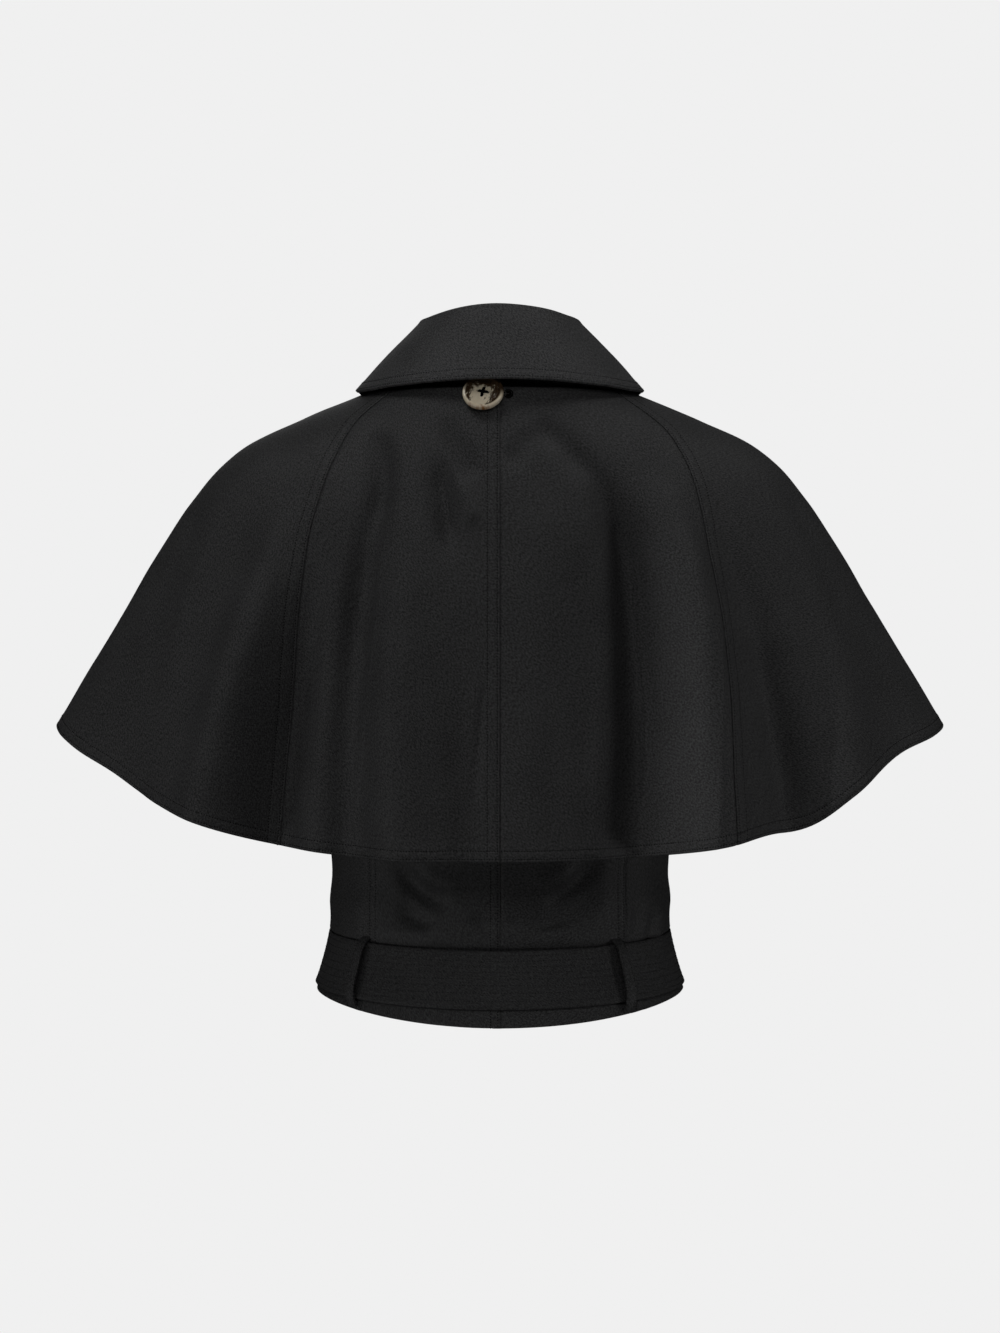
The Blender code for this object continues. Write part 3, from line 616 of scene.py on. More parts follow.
def gabardine(name, dark, light, rough):
    """Twill-woven cotton between two tones of black."""
    finish, tree, shader = new_finish(name)
    flat = add_node(tree, "UVMap", uv_map=CUT_MAP).outputs["UV"]
    along_rib = add_node(tree, "Mapping", vector=flat, vector_type="TEXTURE", rotation=(0, 0, RIB_LEAN),
                         scale=RIB_SIZE).outputs[0]
    rib = grain(tree, along_rib, scale=1.0, detail=2.0, roughness=0.6)
    yarn = grain(tree, flat, scale=YARN_SCALE, detail=1.0)
    broad = grain(tree, flat, scale=BROAD_SCALE, detail=3.0, roughness=0.55)
    weave = weighted(tree, rib, RIB_SHARE, yarn)
    tone = spread(tree, weighted(tree, weave, WEAVE_SHARE, broad), from_min=TONE_LOW, from_max=TONE_HIGH)
    fine = bump(tree, weave, strength=0.6, distance=0.00035)
    feed(tree, shader, {
        "Base Color": mix_colours(tree, tone, dark, light),
        "Roughness": spread(tree, weave, to_min=rough + GLOSS_SPREAD, to_max=rough - GLOSS_SPREAD),
        "Normal": bump(tree, broad, strength=0.06, distance=0.0012, normal=fine),
        "Specular IOR Level": 0.32,
    })
    return finish


COAT_CLOTH = gabardine("coat_cloth", (0.0120, 0.0120, 0.0123), (0.0665, 0.0665, 0.0678), 0.64)
CAPE_CLOTH = gabardine("cape_cloth", (0.0100, 0.0100, 0.0103), (0.0560, 0.0560, 0.0571), 0.64)
# The collar is the same black gabardine. Its lighter tones are painted light, for the light that falls on
# its upturned face.
COLLAR_CLOTH_PAINTED_LIGHTER = gabardine("collar_cloth", (0.0165, 0.0165, 0.0170), (0.0810, 0.0810, 0.0826), 0.68)
BELT_CLOTH = gabardine("belt_cloth", (0.0120, 0.0120, 0.0123), (0.0600, 0.0600, 0.0612), 0.68)
print("finishes:", [m.name for m in (COAT_CLOTH, CAPE_CLOTH, COLLAR_CLOTH_PAINTED_LIGHTER, BELT_CLOTH)])

# %% [markdown]
# ## The cape
# Two backs, two shoulder panels and two fronts meet in seams. The shoulder panels lap over their
# neighbours and carry two rows of topstitching, and so does the left back over the right. Each
# panel is a sheet of its own, as it is cut, because one sheet for the whole cape would have no
# seams to catch the light.

# %% Cutting lines of the cape
CapeLine = namedtuple("CapeLine", "share left_back right_back front front_edge")
CAPE_LINES = [CapeLine(*row) for row in (
    (0, 37, 31, 32, 70),
    (0.09, 37, 31, 33, 72),
    (0.14, 39.3, 32.5, 35, 73),
    (0.2, 42.8, 36.4, 38, 74),
    (0.29, 47.2, 41.9, 43, 75),
    (0.38, 49.8, 46.3, 46.5, 75.8),
    (0.52, 52.8, 50.6, 50, 76.5),
    (0.7, 56, 54.7, 54, 77.3),
    (0.85, 58.2, 57.8, 56.7, 77.7),
    (1, 60.3, 60.3, 59, 78),
)]
CAPE_EDGES = {
    "centre_back": (CENTRE_BACK, 0, "left_back"),
    "left_back": (0.0, 1, "left_back"), "right_back": (RIGHT_SIDE, -1, "right_back"),
    "left_front": (0.0, -1, "front"), "right_front": (RIGHT_SIDE, 1, "front"),
    "left_edge": (0.0, -1, "front_edge"), "right_edge": (RIGHT_SIDE, 1, "front_edge"),
}
CLOTH, CAPE_LENGTH = 0.0011, 0.35
SEAM_ROWS, HEM_ROWS = (0.0020, 0.0092), (0.0023, 0.0084)
GATHER_HEIGHT, GATHER_ABOVE, GATHER_REACH, GATHER_LEAST = 0.00060, 0.0060, 0.0060, 0.06
GATHER_TURNS, DRIFT, DRIFT_TURNS = 430, 2.0, 37
GATHERS = ((1.0, 84.0, 4.2), (0.3, 97.0, 4.0))


def cape_line(name, share):
    """The angle of one cutting line of the cape."""
    start, way, column = CAPE_EDGES[name]
    return start + way * read_column(CAPE_LINES, column, share)


def pucker(angle, distance):
    """Small gathers that the hem's stitches pull into the cloth, most of all beside the centre."""
    reach = bell(distance, GATHER_ABOVE, GATHER_REACH)
    where = GATHER_LEAST + sum(most * bell(angle, middle, wide) for most, middle, wide in GATHERS)
    turn = np.radians(angle)
    wave = (0.5 + 0.5 * np.sin(turn * GATHER_TURNS + DRIFT * np.sin(turn * DRIFT_TURNS))) ** 3
    return GATHER_HEIGHT * reach * where * wave


print("cape, neck to hem:", CAPE_LENGTH, "m; rows beside a seam:", SEAM_ROWS)

# %% Sew the cape's six panels
NECK_RISE, BELOW_NECK, CAPE_ROW_COUNT = 0.0032, (0.002, 0.012), 84
FINE_STEP, EVEN_STEP, WIDE_STEP = 0.0010, 0.0016, 0.0042
CAPE_WAVES = ((0.030, 0.0005), (0.009, 0.00005))
hem_marks = near_edge(HEM_ROWS)[::-1] / CAPE_LENGTH
CAPE_SHARES = np.concatenate([
    (near_edge(())[:3] - NECK_RISE) / CAPE_LENGTH, BELOW_NECK[:1],
    np.linspace(BELOW_NECK[1], 1 - hem_marks[0], CAPE_ROW_COUNT), 1 - hem_marks[1:],
])
CapePanel = namedtuple("CapePanel", "node first last kinds rests_on step")
BOTH_OVER, BOTH_UNDER = ("over", "over"), ("under", "under")
CAPE_PANELS = [
    CapePanel("cape_back_left", "left_back", "centre_back", ("under", "over"), "body_back_left", FINE_STEP),
    CapePanel("cape_back_right", "centre_back", "right_back", BOTH_UNDER, "body_back_right", EVEN_STEP),
    CapePanel("cape_side_left", "left_front", "left_back", BOTH_OVER, "body_back_left", WIDE_STEP),
    CapePanel("cape_side_right", "right_back", "right_front", BOTH_OVER, "body_back_right", WIDE_STEP),
    CapePanel("cape_front_left", "left_edge", "left_front", ("over", "under"), "body_front_left", WIDE_STEP),
    CapePanel("cape_front_right", "right_front", "right_edge", ("under", "over"), "body_front_right",
              WIDE_STEP),
]


def cape_surface(angle, share):
    """The outside of the cape with its folds and creases."""
    depth = crease_depth(CAPE_CREASES, smooth_cape_form, angle, share)
    return cape_form(angle, share) + outward(smooth_cape_form, angle, share) * depth[..., None]


cape_lines = []
for part in CAPE_PANELS:
    angle, share, distances, relief = panel_grid(part, smooth_cape_form, cape_line, CAPE_SHARES,
                                                 SEAM_ROWS, part.step)
    cloth, above_hem = cape_surface(angle, share), (1 - share) * CAPE_LENGTH
    relief += edge_relief(above_hem, "over", HEM_ROWS) + pucker(angle, above_hem)
    relief += edge_relief(share * CAPE_LENGTH + NECK_RISE, "over", ())
    relief += ripple(cloth, *CAPE_WAVES)
    outside, normals = cloth_piece(part.node, cloth, relief, CLOTH, CAPE_CLOTH)
    cape_lines += seam_lines(part, outside, normals, distances, SEAM_ROWS)
    seen = (distances[0][-1] > 0) & (distances[1][-1] > 0)
    cape_lines += sewn_across(outside, normals, above_hem, HEM_ROWS, seen)
print("stitch lines on the cape:", len(cape_lines))

# %% [markdown]
# ## Sewing
# A machine stitch shows as a short dark dash, sunk in the groove that it pulls. Thousands of them
# run beside the seams and hems. Their thread is painted far darker than the black cloth, as painted
# shade for the needle holes and the groove. A texture of dashes would blur at the needle holes, and
# one object for each stitch would choke the file, so all the stitches of a garment part are copies of
# one small closed shape of a dozen triangles, laid out with arrays and joined in a single mesh.

# %% One stitch, and a row of them
STITCH_PITCH, STITCH_HALF, STITCH_SIDE = 0.0021, 0.00052, 0.00056
STITCH_TOP, STITCH_SUNK = 0.00038, 0.00004
STITCH_SHAPE = np.array([
    (-1.0, 0.0, -1.0), (-0.5, -1.0, -1.0), (0.5, -1.0, -1.0), (1.0, 0.0, -1.0),
    (0.5, 1.0, -1.0), (-0.5, 1.0, -1.0), (-0.5, 0.0, 1.0), (0.5, 0.0, 1.0),
])
STITCH_FACES = [(1, 2, 7, 6), (4, 5, 6, 7), (0, 1, 6), (5, 0, 6), (2, 3, 7), (3, 4, 7), (0, 5, 4, 3, 2, 1)]


def lay_stitches(places, headings, normals, size=1.0):
    """Points of one stitch at each place, along its heading."""
    headings = unit(headings - normals * np.sum(headings * normals, axis=-1, keepdims=True))
    along, across, up = STITCH_SHAPE.T
    moves = ((headings, along * STITCH_HALF * size),
             (np.cross(normals, headings), across * STITCH_SIDE * size),
             (normals, np.where(up > 0, STITCH_TOP * size, -STITCH_SUNK)))
    return places[:, None, :] + sum(way[:, None, :] * far[None, :, None] for way, far in moves)


def stitch_row(points, normals, size=1.0):
    """Stitches at an even pitch along a line over the cloth."""
    lengths = run_length(points)
    marks = np.arange(STITCH_PITCH / 2, lengths[-1], STITCH_PITCH)
    place, ahead, up = (np.stack([np.interp(marks, lengths, column) for column in line.T], axis=1)
                        for line in (points, np.gradient(points, lengths, axis=0), normals))
    return lay_stitches(place, unit(ahead), unit(up), size)


def sew(name, rows):
    """Join rows of stitches in one piece."""
    stitches = np.concatenate(rows)
    faces = [tuple(corner + len(STITCH_SHAPE) * k for corner in face)
             for k in range(len(stitches)) for face in STITCH_FACES]
    place_piece(name, new_mesh(name, stitches, faces), THREAD_AND_HOLE_SHADE)
    print(f"{name}: {len(stitches)} stitches")


def thread_and_hole_shade_finish():
    """Black sewing thread with a fine ply, painted far darker than the cloth as painted shade for its needle
    holes.
    """
    finish, tree, shader = new_finish("thread")
    ply = grain(tree, add_node(tree, "TexCoord").outputs["Object"], scale=1500.0, detail=1.0)
    ramp = add_node(tree, "ValToRGB", fac=ply)
    # These tones sit far below the cloth's black. They are partly the black thread and partly painted shade
    # for the needle holes and grooves.
    for element, tone in zip(ramp.color_ramp.elements, (0.0004, 0.0016)):
        element.color = (tone, tone, tone, 1.0)
    feed(tree, shader, {"Base Color": ramp.outputs["Color"], "Roughness": 0.8, "Specular IOR Level": 0.04})
    return finish


THREAD_AND_HOLE_SHADE = thread_and_hole_shade_finish()
print("one stitch:", len(STITCH_FACES), "faces, every", STITCH_PITCH * 1000, "mm")

# %% Topstitching of the cape
sew("cape_stitches", [stitch_row(*line) for line in cape_lines])

# %% [markdown]
# ## The collar
# The collar is one piece of stiffened cloth: a stand round the neck that turns over in a soft roll
# and falls to a straight lower edge. It is thicker than the cape because it is interfaced, and two
# rows of stitches hold its turned edge flat.

# %% Collar shell
COLLAR_THICKNESS, COLLAR_SHELL = 0.0026, 0.0018
STAND_TOP, FALL_TOP = 0.34, 0.40
COLLAR_NECK_END, COLLAR_POINT_END = 86.0, 62.0
COLLAR_ROWS, COLLAR_STEP, FALL_LENGTH = (0.0019, 0.0080), 0.0042, 0.105
COLLAR_WAVES = ((0.026, 0.0005), (0.008, 0.00005))
EVEN_FROM, EVEN_OVER, FALL_EASE, LAST_STRETCH = 0.5, 0.3, 0.1, 0.06


def collar_end(share):
    """How far past the side the collar's front end lies."""
    down = ease((share - FALL_TOP) / (1.0 - FALL_TOP))
    return COLLAR_NECK_END + (COLLAR_POINT_END - COLLAR_NECK_END) * down


def fall_speed(angle):
    """Length of the collar's fall for each unit of share, at its lower edge."""
    foot = np.full(np.shape(angle), 1.0)
    fall = collar_form(angle, foot) - collar_form(angle, foot - LAST_STRETCH)
    return np.linalg.norm(fall, axis=-1) / LAST_STRETCH


near_fall = near_edge(COLLAR_ROWS)
base = np.concatenate([np.linspace(0.0, STAND_TOP, 14)[:-1], np.linspace(STAND_TOP, FALL_TOP, 14)[:-1],
                       np.linspace(FALL_TOP, 1 - near_fall[-1] / FALL_LENGTH, 26),
                       1 - near_fall[-2::-1] / FALL_LENGTH])
end = collar_end(base)
angle, *ends = arc_columns(collar_form, -end, RIGHT_SIDE + end, base, near_fall, near_fall, COLLAR_STEP)
down = base[:, None]
even = ease((down - EVEN_FROM) / EVEN_OVER)
share = down * (1 - even) + (1 - (1 - down) * FALL_LENGTH / fall_speed(angle)) * even
depth = crease_depth(COLLAR_CREASES, collar_form, angle, share)
cloth = moved_out(collar_form, angle, share, depth + COLLAR_THICKNESS / 2)
above_edge = (1 - down) * FALL_LENGTH + 0 * angle
relief = edge_relief(above_edge, "over", COLLAR_ROWS)
relief += ease((down - FALL_TOP) / FALL_EASE) * sum(edge_relief(far, "over", COLLAR_ROWS) for far in ends)
relief += ripple(cloth, *COLLAR_WAVES)
outside, normals = cloth_piece("collar", cloth, relief, COLLAR_SHELL, COLLAR_CLOTH_PAINTED_LIGHTER)

# %% Topstitching of the collar
ROWS_FROM = FALL_TOP + 0.04
collar_lines = sewn_across(outside, normals, above_edge, COLLAR_ROWS, slice(1, -1))
fall = base > ROWS_FROM
for far in ends:
    collar_lines += sewn_lines(outside[fall], normals[fall], far[fall], COLLAR_ROWS)
sew("collar_stitches", [stitch_row(*line) for line in collar_lines])

# %% [markdown]
# ## The coat body
# Under the cape the coat is a sleeveless body of six panels: two backs with a centre seam, two
# sides below the armholes and two fronts, the right lapped over the left. Only the waist shows from
# behind, but the fronts show between the cape's edges, so all of it is made.

# %% Cutting lines of the body
SHOULDER_TIP, ARMHOLE_FOOT, ARMHOLE_DIP = 0.24, 0.46, 0.08
LEFT_SEAM, RIGHT_SEAM, FRONT_SEAM = (43.0, 39.0), (45.0, 42.5), (44.0, 42.0)
BODY_EDGES = {
    "centre_back": (CENTRE_BACK, 0, LEFT_SEAM),
    "left_back": (0.0, 1, LEFT_SEAM), "right_back": (RIGHT_SIDE, -1, RIGHT_SEAM),
    "left_front": (0.0, -1, FRONT_SEAM), "right_front": (RIGHT_SIDE, 1, FRONT_SEAM),
    "left_lap": (-RIGHT_SIDE, 1, None), "right_lap": (FULL_TURN, -1, None),
}
FRONT_LAP, LAP_EASE_START, LAP_EASE_END, LAY_GAP = 0.026, 0.050, 0.030, 0.0004
UNDERLAP_DROP = 0.0018 + 3 * LAY_GAP
BODY_ROWS, BODY_STEP, BODY_WAVE, SIDE_WAVE = (0.0016, 0.0069), 0.0055, (0.024, 0.0006), (0.020, 0.0006)


def body_seam(share, seam):
    """A side seam of the body: shoulder seam, then armhole edge, then the seam down to the hem."""
    at_armhole, at_hem = seam
    armhole = np.clip((share - SHOULDER_TIP) / (ARMHOLE_FOOT - SHOULDER_TIP), 0.0, 1.0)
    below = np.clip((share - ARMHOLE_FOOT) / (1.0 - ARMHOLE_FOOT), 0.0, 1.0)
    return at_armhole * (1 - (1 - armhole) ** 2) + (at_hem - at_armhole) * below


def front_edge(share):
    """How far past the side the lapped edge of a front lies."""
    return np.degrees(np.arccos(FRONT_LAP / read_column(BODY_SECTIONS, "half_width", share)))


def body_line(name, share):
    """The angle of one cutting line of the body."""
    start, way, seam = BODY_EDGES[name]
    return start + way * (body_seam(share, seam) if seam else front_edge(share))


def body_surface(angle, share):
    """The outside of the body with its creases."""
    return moved_out(body_form, angle, share, crease_depth(BODY_CREASES, body_form, angle, share))


def underlap_surface(angle, share):
    """The left front, which dips under the right one towards the middle."""
    part = ease((LAP_EASE_START - body_form(angle, share)[..., 0]) / (LAP_EASE_START - LAP_EASE_END))
    depth = crease_depth(BODY_CREASES, body_form, angle, share) * (1 - part)
    return moved_out(body_form, angle, share, depth - UNDERLAP_DROP * part)


print("back seams at the waist:", [float(body_line(n, WAIST_SHARE)) for n in ("left_back", "right_back")])

# %% Sew the body's backs and fronts
BodyPanel = namedtuple("BodyPanel", "node surface first last kinds")
BODY_PANELS = [
    BodyPanel("body_back_left", body_surface, "left_back", "centre_back", ("over", "over")),
    BodyPanel("body_back_right", body_surface, "centre_back", "right_back", ("under", "over")),
    BodyPanel("body_front_left", underlap_surface, "left_lap", "left_front", ("hidden", "over")),
    BodyPanel("body_front_right", body_surface, "right_front", "right_lap", ("over", "over")),
]
BODY_SHARES = np.concatenate([np.linspace(0.0, SHOULDER_TIP, 14)[:-1],
                              np.linspace(SHOULDER_TIP, ARMHOLE_FOOT, 22)[:-1],
                              np.linspace(ARMHOLE_FOOT, 0.89, 50), np.linspace(0.8935, 0.9420, 20),
                              np.linspace(0.95, 0.984, 5), np.linspace(0.987, 0.9985, 8), [1.0]])
SWELL, SWELL_SHARE, SWELL_WIDTH = 0.0018, 0.9140, 0.0130
SWELL_WAVES = ((0.45, 7, 0.6), (0.30, 17, 0.0))
TUCK, TUCK_SHARE, TUCK_WIDTH = 0.0026, 0.9335, 0.0055
SIDE_EASE, SIDE_FROM, SIDE_IN, SIDE_TO, SIDE_OUT = 0.0034, 0.845, 0.050, 0.9290, 0.0060
BELT_NEAR, BELT_FADE, HEM_NEAR, HEM_FADE = 0.905, 0.02, 0.994, 0.004


def waist_tuck(angle, share):
    """The cloth swells a little above the belt and tucks in behind it, unevenly."""
    turn = np.radians(angle)
    uneven = 1.0 + sum(most * np.sin(turns * turn + shift) for most, turns, shift in SWELL_WAVES)
    swell = SWELL * uneven * np.sin(turn) ** 2 * bell(share, SWELL_SHARE, SWELL_WIDTH)
    tuck = TUCK * np.sin(turn) ** 2 * bell(share, TUCK_SHARE, TUCK_WIDTH)
    full = ease((share - SIDE_FROM) / SIDE_IN) * (1 - ease((share - SIDE_TO) / SIDE_OUT))
    return swell - tuck + SIDE_EASE * np.abs(np.cos(turn)) ** 3 * full


def under_belt(angle, share, relief, flat):
    """A relief that doesn't rise where the belt presses the cloth flat, with the tuck above it."""
    return np.minimum(relief, relief * (1 - flat)) + waist_tuck(angle, share)


body_lines = []
for part in BODY_PANELS:
    angle, share, distances, relief = panel_grid(part, body_form, body_line, BODY_SHARES,
                                                 BODY_ROWS, BODY_STEP)
    cloth = part.surface(angle, share)
    flat = ease((share - BELT_NEAR) / BELT_FADE) * (1 - ease((share - HEM_NEAR) / HEM_FADE))
    relief = under_belt(angle, share, relief + ripple(cloth, BODY_WAVE), flat)
    outside, normals = cloth_piece(part.node, cloth, relief, CLOTH, COAT_CLOTH)
    body_lines += seam_lines(part, outside, normals, distances, BODY_ROWS)

# %% Sew the body's sides
SIDE_WIDTH = 0.20
SIDE_DOWN = np.concatenate([[0.0, 0.002, 0.005], np.linspace(0.012, 0.78, 40), np.linspace(0.785, 1.0, 56)])
SIDE_ACROSS = np.concatenate([[-0.03, -0.01, 0.0, 0.006, 0.014], np.linspace(0.025, 0.975, 34),
                              [0.986, 0.994, 1.0, 1.01, 1.03]])
top = ARMHOLE_FOOT + ARMHOLE_DIP * (1 - np.clip(2 * SIDE_ACROSS - 1, -1, 1) ** 2)
share = top + (1.0 - top) * SIDE_DOWN[:, None]
inwards = np.minimum(SIDE_ACROSS, 1 - SIDE_ACROSS) * SIDE_WIDTH + 0 * share
for node, first, last in (("body_side_left", "left_front", "left_back"),
                          ("body_side_right", "right_back", "right_front")):
    start, stop = body_line(first, share), body_line(last, share)
    angle = start + (stop - start) * SIDE_ACROSS
    cloth = body_surface(angle, share)
    relief = edge_relief(inwards, "under", ()) + ripple(cloth, SIDE_WAVE)
    relief = under_belt(angle, share, relief, ease((share - BELT_NEAR) / BELT_FADE))
    cloth_piece(node, cloth, relief, CLOTH, COAT_CLOTH)

# %% Topstitching of the body
sew("body_stitches", [stitch_row(*line) for line in body_lines])

# %% [markdown]
# ## Belt and loops
# The belt is a firm strap, stiffened by eight rows of stitches along its whole length. It starts
# under the buckle, goes round the waist and comes back over the buckle's bar as a tail. Two narrow
# loops over the side back seams hold it up and stand a little off it.

# %% Belt shell
BELT_THICKNESS, BELT_WIDTH, BELT_TOP, BELT_FOOT = 0.0030, 0.0450, 0.9325, 0.9890
BELT_START, BELT_TAIL = -84.0, 62.0
BELT_END = BELT_START + FULL_TURN + BELT_TAIL
TAIL_RISE_START, TAIL_RISE_END, TAIL_LIFT = 222.0, 252.0, BELT_THICKNESS + LAY_GAP
BUCKLE_THICKNESS, BUCKLE_LIFT = 0.0030, 0.0056
HUMP_HALF, HUMP_CROWN = 0.0235, 0.0040
HUMP_LIFT = BUCKLE_LIFT + BUCKLE_THICKNESS + LAY_GAP - TAIL_LIFT
BELT_ROW_COUNT, BELT_FIRST_ROW, BELT_GROOVE = 8, 0.0046, 0.00004
BELT_ROLL, BELT_EDGE_MARKS, BELT_LEAST, BETWEEN_ROWS = 0.0007, (0.0, 0.0004, 0.0010), 0.0002, 0.0024
BELT_TURN, BUCKLE_TURN, BUCKLE_FROM, BUCKLE_TO = 1.8, 0.5, 250.0, 292.0


def belt_lift(angle, across):
    """How far the belt's inside stands off the coat: its tail climbs over its start and the bar."""
    rise = ease((angle - TAIL_RISE_START) / (TAIL_RISE_END - TAIL_RISE_START))
    hump = ease((HUMP_HALF - np.abs(across)) / (HUMP_HALF - HUMP_CROWN))
    return LAY_GAP + rise * TAIL_LIFT + np.where(angle > TAIL_RISE_END, hump, 0.0) * HUMP_LIFT


belt_rows = np.linspace(BELT_FIRST_ROW, BELT_WIDTH - BELT_FIRST_ROW, BELT_ROW_COUNT)
marks = [*BELT_EDGE_MARKS, *(BELT_WIDTH - mark for mark in BELT_EDGE_MARKS)]
marks += [row + past for row in belt_rows for past in (-GROOVE_HALF, 0.0, GROOVE_HALF, BETWEEN_ROWS)]
marks = np.array(sorted(mark for mark in marks if 0 <= mark <= BELT_WIDTH))
marks = marks[np.concatenate([[True], np.diff(marks) > BELT_LEAST])]
turn = np.concatenate([np.arange(BELT_START, BUCKLE_FROM, BELT_TURN),
                       np.arange(BUCKLE_FROM, BUCKLE_TO, BUCKLE_TURN),
                       np.arange(BUCKLE_TO, BELT_END, BELT_TURN), [BELT_END]])
angle, from_top = np.meshgrid(turn, marks)
share = BELT_TOP + (BELT_FOOT - BELT_TOP) * from_top / BELT_WIDTH
lift = belt_lift(angle, body_form(angle, share)[..., 0])
cloth = moved_out(body_form, angle, share, lift + BELT_THICKNESS)
relief = -BELT_ROLL * (1 - ease(np.minimum(from_top, BELT_WIDTH - from_top) / ROLL_WIDTH))
for row in belt_rows:
    relief -= BELT_GROOVE * bell(from_top, row, GROOVE_HALF)
outside, normals = cloth_piece("belt", cloth, relief, BELT_THICKNESS, BELT_CLOTH)
belt_lines = sewn_across(outside, normals, from_top, belt_rows, slice(1, -1))

# %% Belt loops and their sewing
LOOP_ANGLES = {"belt_loop_left": 38.5, "belt_loop_right": 133.0}
LOOP_TOP, LOOP_FOOT = 0.925, 0.9990
LOOP_WIDTH, LOOP_CLOTH, LOOP_STAND_OFF, LOOP_SQUARENESS = 0.0095, 0.0016, 0.0078, 4
LOOP_ROLL, LOOP_ROLL_WIDTH, LOOP_GROOVE, LOOP_ROW, LOOP_GROOVE_HALF = 0.0005, 0.0008, 0.0002, 0.0016, 0.0005
LOOP_HALF = np.array([0.3, 0.55, 0.66, 0.74, 0.85, 0.94, 1.0])
LOOP_ACROSS = np.concatenate([-LOOP_HALF[::-1], [0.0], LOOP_HALF])
LOOP_STITCHED = (3, 11)
half_turn = math.degrees(LOOP_WIDTH / 2 / BODY_SECTIONS[-2].half_width)
across, down = np.meshgrid(LOOP_ACROSS, np.linspace(0.0, 1.0, 49))
lift = LAY_GAP + LOOP_STAND_OFF * (1 - (2 * down - 1) ** LOOP_SQUARENESS)
inwards = (1 - np.abs(across)) * LOOP_WIDTH / 2
relief = -LOOP_ROLL * (1 - ease(inwards / LOOP_ROLL_WIDTH))
relief -= LOOP_GROOVE * bell(inwards, LOOP_ROW, LOOP_GROOVE_HALF)
for node, middle in LOOP_ANGLES.items():
    angle, share = middle + half_turn * across, LOOP_TOP + (LOOP_FOOT - LOOP_TOP) * down
    cloth = moved_out(body_form, angle, share, lift + LOOP_CLOTH)
    _, outside, normals = lay_shell(node, cloth, relief, LOOP_CLOTH, COAT_CLOTH)
    belt_lines += [(outside[2:-2, column], normals[2:-2, column]) for column in LOOP_STITCHED]
print("loops stand", LOOP_STAND_OFF * 1000, "mm off the coat")

# %% Rows of stitches along the belt
BELT_STITCH = 0.60
sew("belt_stitches", [stitch_row(*line, BELT_STITCH) for line in belt_lines])

# %% [markdown]
# ## Horn buttons
# A coat button is turned from a slab of horn: a round rim, a dished middle and four holes. It is
# modelled as on a lathe from a cylinder: the rim is bevelled, the top is inset and sunk, and four
# pins are cut out. Horn is cream in its middle and mottled brown where the grain darkens.

# %% Horn finish
BUTTON_MAP = "face"
CREAM, PALE_CREAM = (0.66, 0.55, 0.38), (0.86, 0.78, 0.62)
BLACK_BROWN, BROWN, WARM_BROWN = (0.008, 0.005, 0.004), (0.090, 0.052, 0.026), (0.33, 0.15, 0.055)
STREAK_LEAN, STREAK_SIZE = math.radians(20), (3.0, 0.8, 1.0)
CLOUD_WANDER, STREAK_WANDER = 1.1, 1.6
DARK_TOP, DARK_RIGHT, DARK_LEFT, WARM_FOOT = (0.26, 0.42), (0.30, 0.52), (0.50, 0.66), (0.80, 1.05)
PALE_RIM, RIM_FOOT = (0.82, 0.90), (-0.35, 0.25)


def step_up(tree, value, ends):
    """A soft step of a value from 0 to 1, between two ends."""
    return spread(tree, value, interpolation_type="SMOOTHSTEP", from_min=ends[0], from_max=ends[1])


def about_middle(tree, value, reach):
    """A noise moved about 0, to make an edge wander."""
    return blend(tree, "MULTIPLY", blend(tree, "SUBTRACT", value, 0.5), reach)


def horn_finish():
    """Polished horn, mottled round its rim."""
    finish, tree, shader = new_finish("horn")
    face = add_node(tree, "UVMap", uv_map=BUTTON_MAP).outputs["UV"]
    x, y, _ = add_node(tree, "SeparateXYZ", vector=face).outputs
    stretched = add_node(tree, "Mapping", vector=face, scale=STREAK_SIZE,
                         rotation=(0, 0, STREAK_LEAN)).outputs[0]
    cloud = grain(tree, face, scale=2.6, detail=4.0, roughness=0.6)
    streak = grain(tree, stretched, scale=2.4, detail=5.0, roughness=0.65)
    wander, wisp = about_middle(tree, cloud, CLOUD_WANDER), about_middle(tree, streak, STREAK_WANDER)
    top = step_up(tree, blend(tree, "ADD", y, wander), DARK_TOP)
    right = step_up(tree, blend(tree, "ADD", x, wisp), DARK_RIGHT)
    left = step_up(tree, blend(tree, "SUBTRACT", wisp, x), DARK_LEFT)
    foot = step_up(tree, blend(tree, "SUBTRACT", wander, y), WARM_FOOT)
    out = add_node(tree, "VectorMath", operation="LENGTH", vector=face).outputs["Value"]
    rim = blend(tree, "MULTIPLY", step_up(tree, out, PALE_RIM),
                step_up(tree, blend(tree, "MULTIPLY", y, -1.0), RIM_FOOT))
    dark = blend(tree, "MAXIMUM", blend(tree, "MAXIMUM", top, right), left)
    dark = blend(tree, "MULTIPLY", dark, blend(tree, "SUBTRACT", 1.0, rim))
    warm = mix_colours(tree, foot, mix_colours(tree, cloud, CREAM, PALE_CREAM), WARM_BROWN)
    feed(tree, shader, {
        "Base Color": mix_colours(tree, dark, warm, mix_colours(tree, streak, BLACK_BROWN, BROWN)),
        "Roughness": spread(tree, streak, to_min=0.10, to_max=0.24),
        "Normal": bump(tree, streak, strength=0.12, distance=0.0002),
        "Coat Weight": 0.6, "Coat Roughness": 0.06,
    })
    return finish


HORN = horn_finish()
print("horn made with", len(HORN.node_tree.nodes), "nodes")

# %% Turn and drill one button
BUTTON_RADIUS, BUTTON_HEIGHT, BUTTON_DISH, BUTTON_SEAT = 0.01525, 0.0044, 0.0012, 0.0006
RIM_BEVEL, RIM_INSETS, FIRST_SINK = 0.0016, (0.0012, 0.0012, 0.0018), 0.8
HOLE_RADIUS, HOLE_OUT = 0.00105, 0.0038
FLAT_FACE, TOP_AREA = 0.99, 1e-4


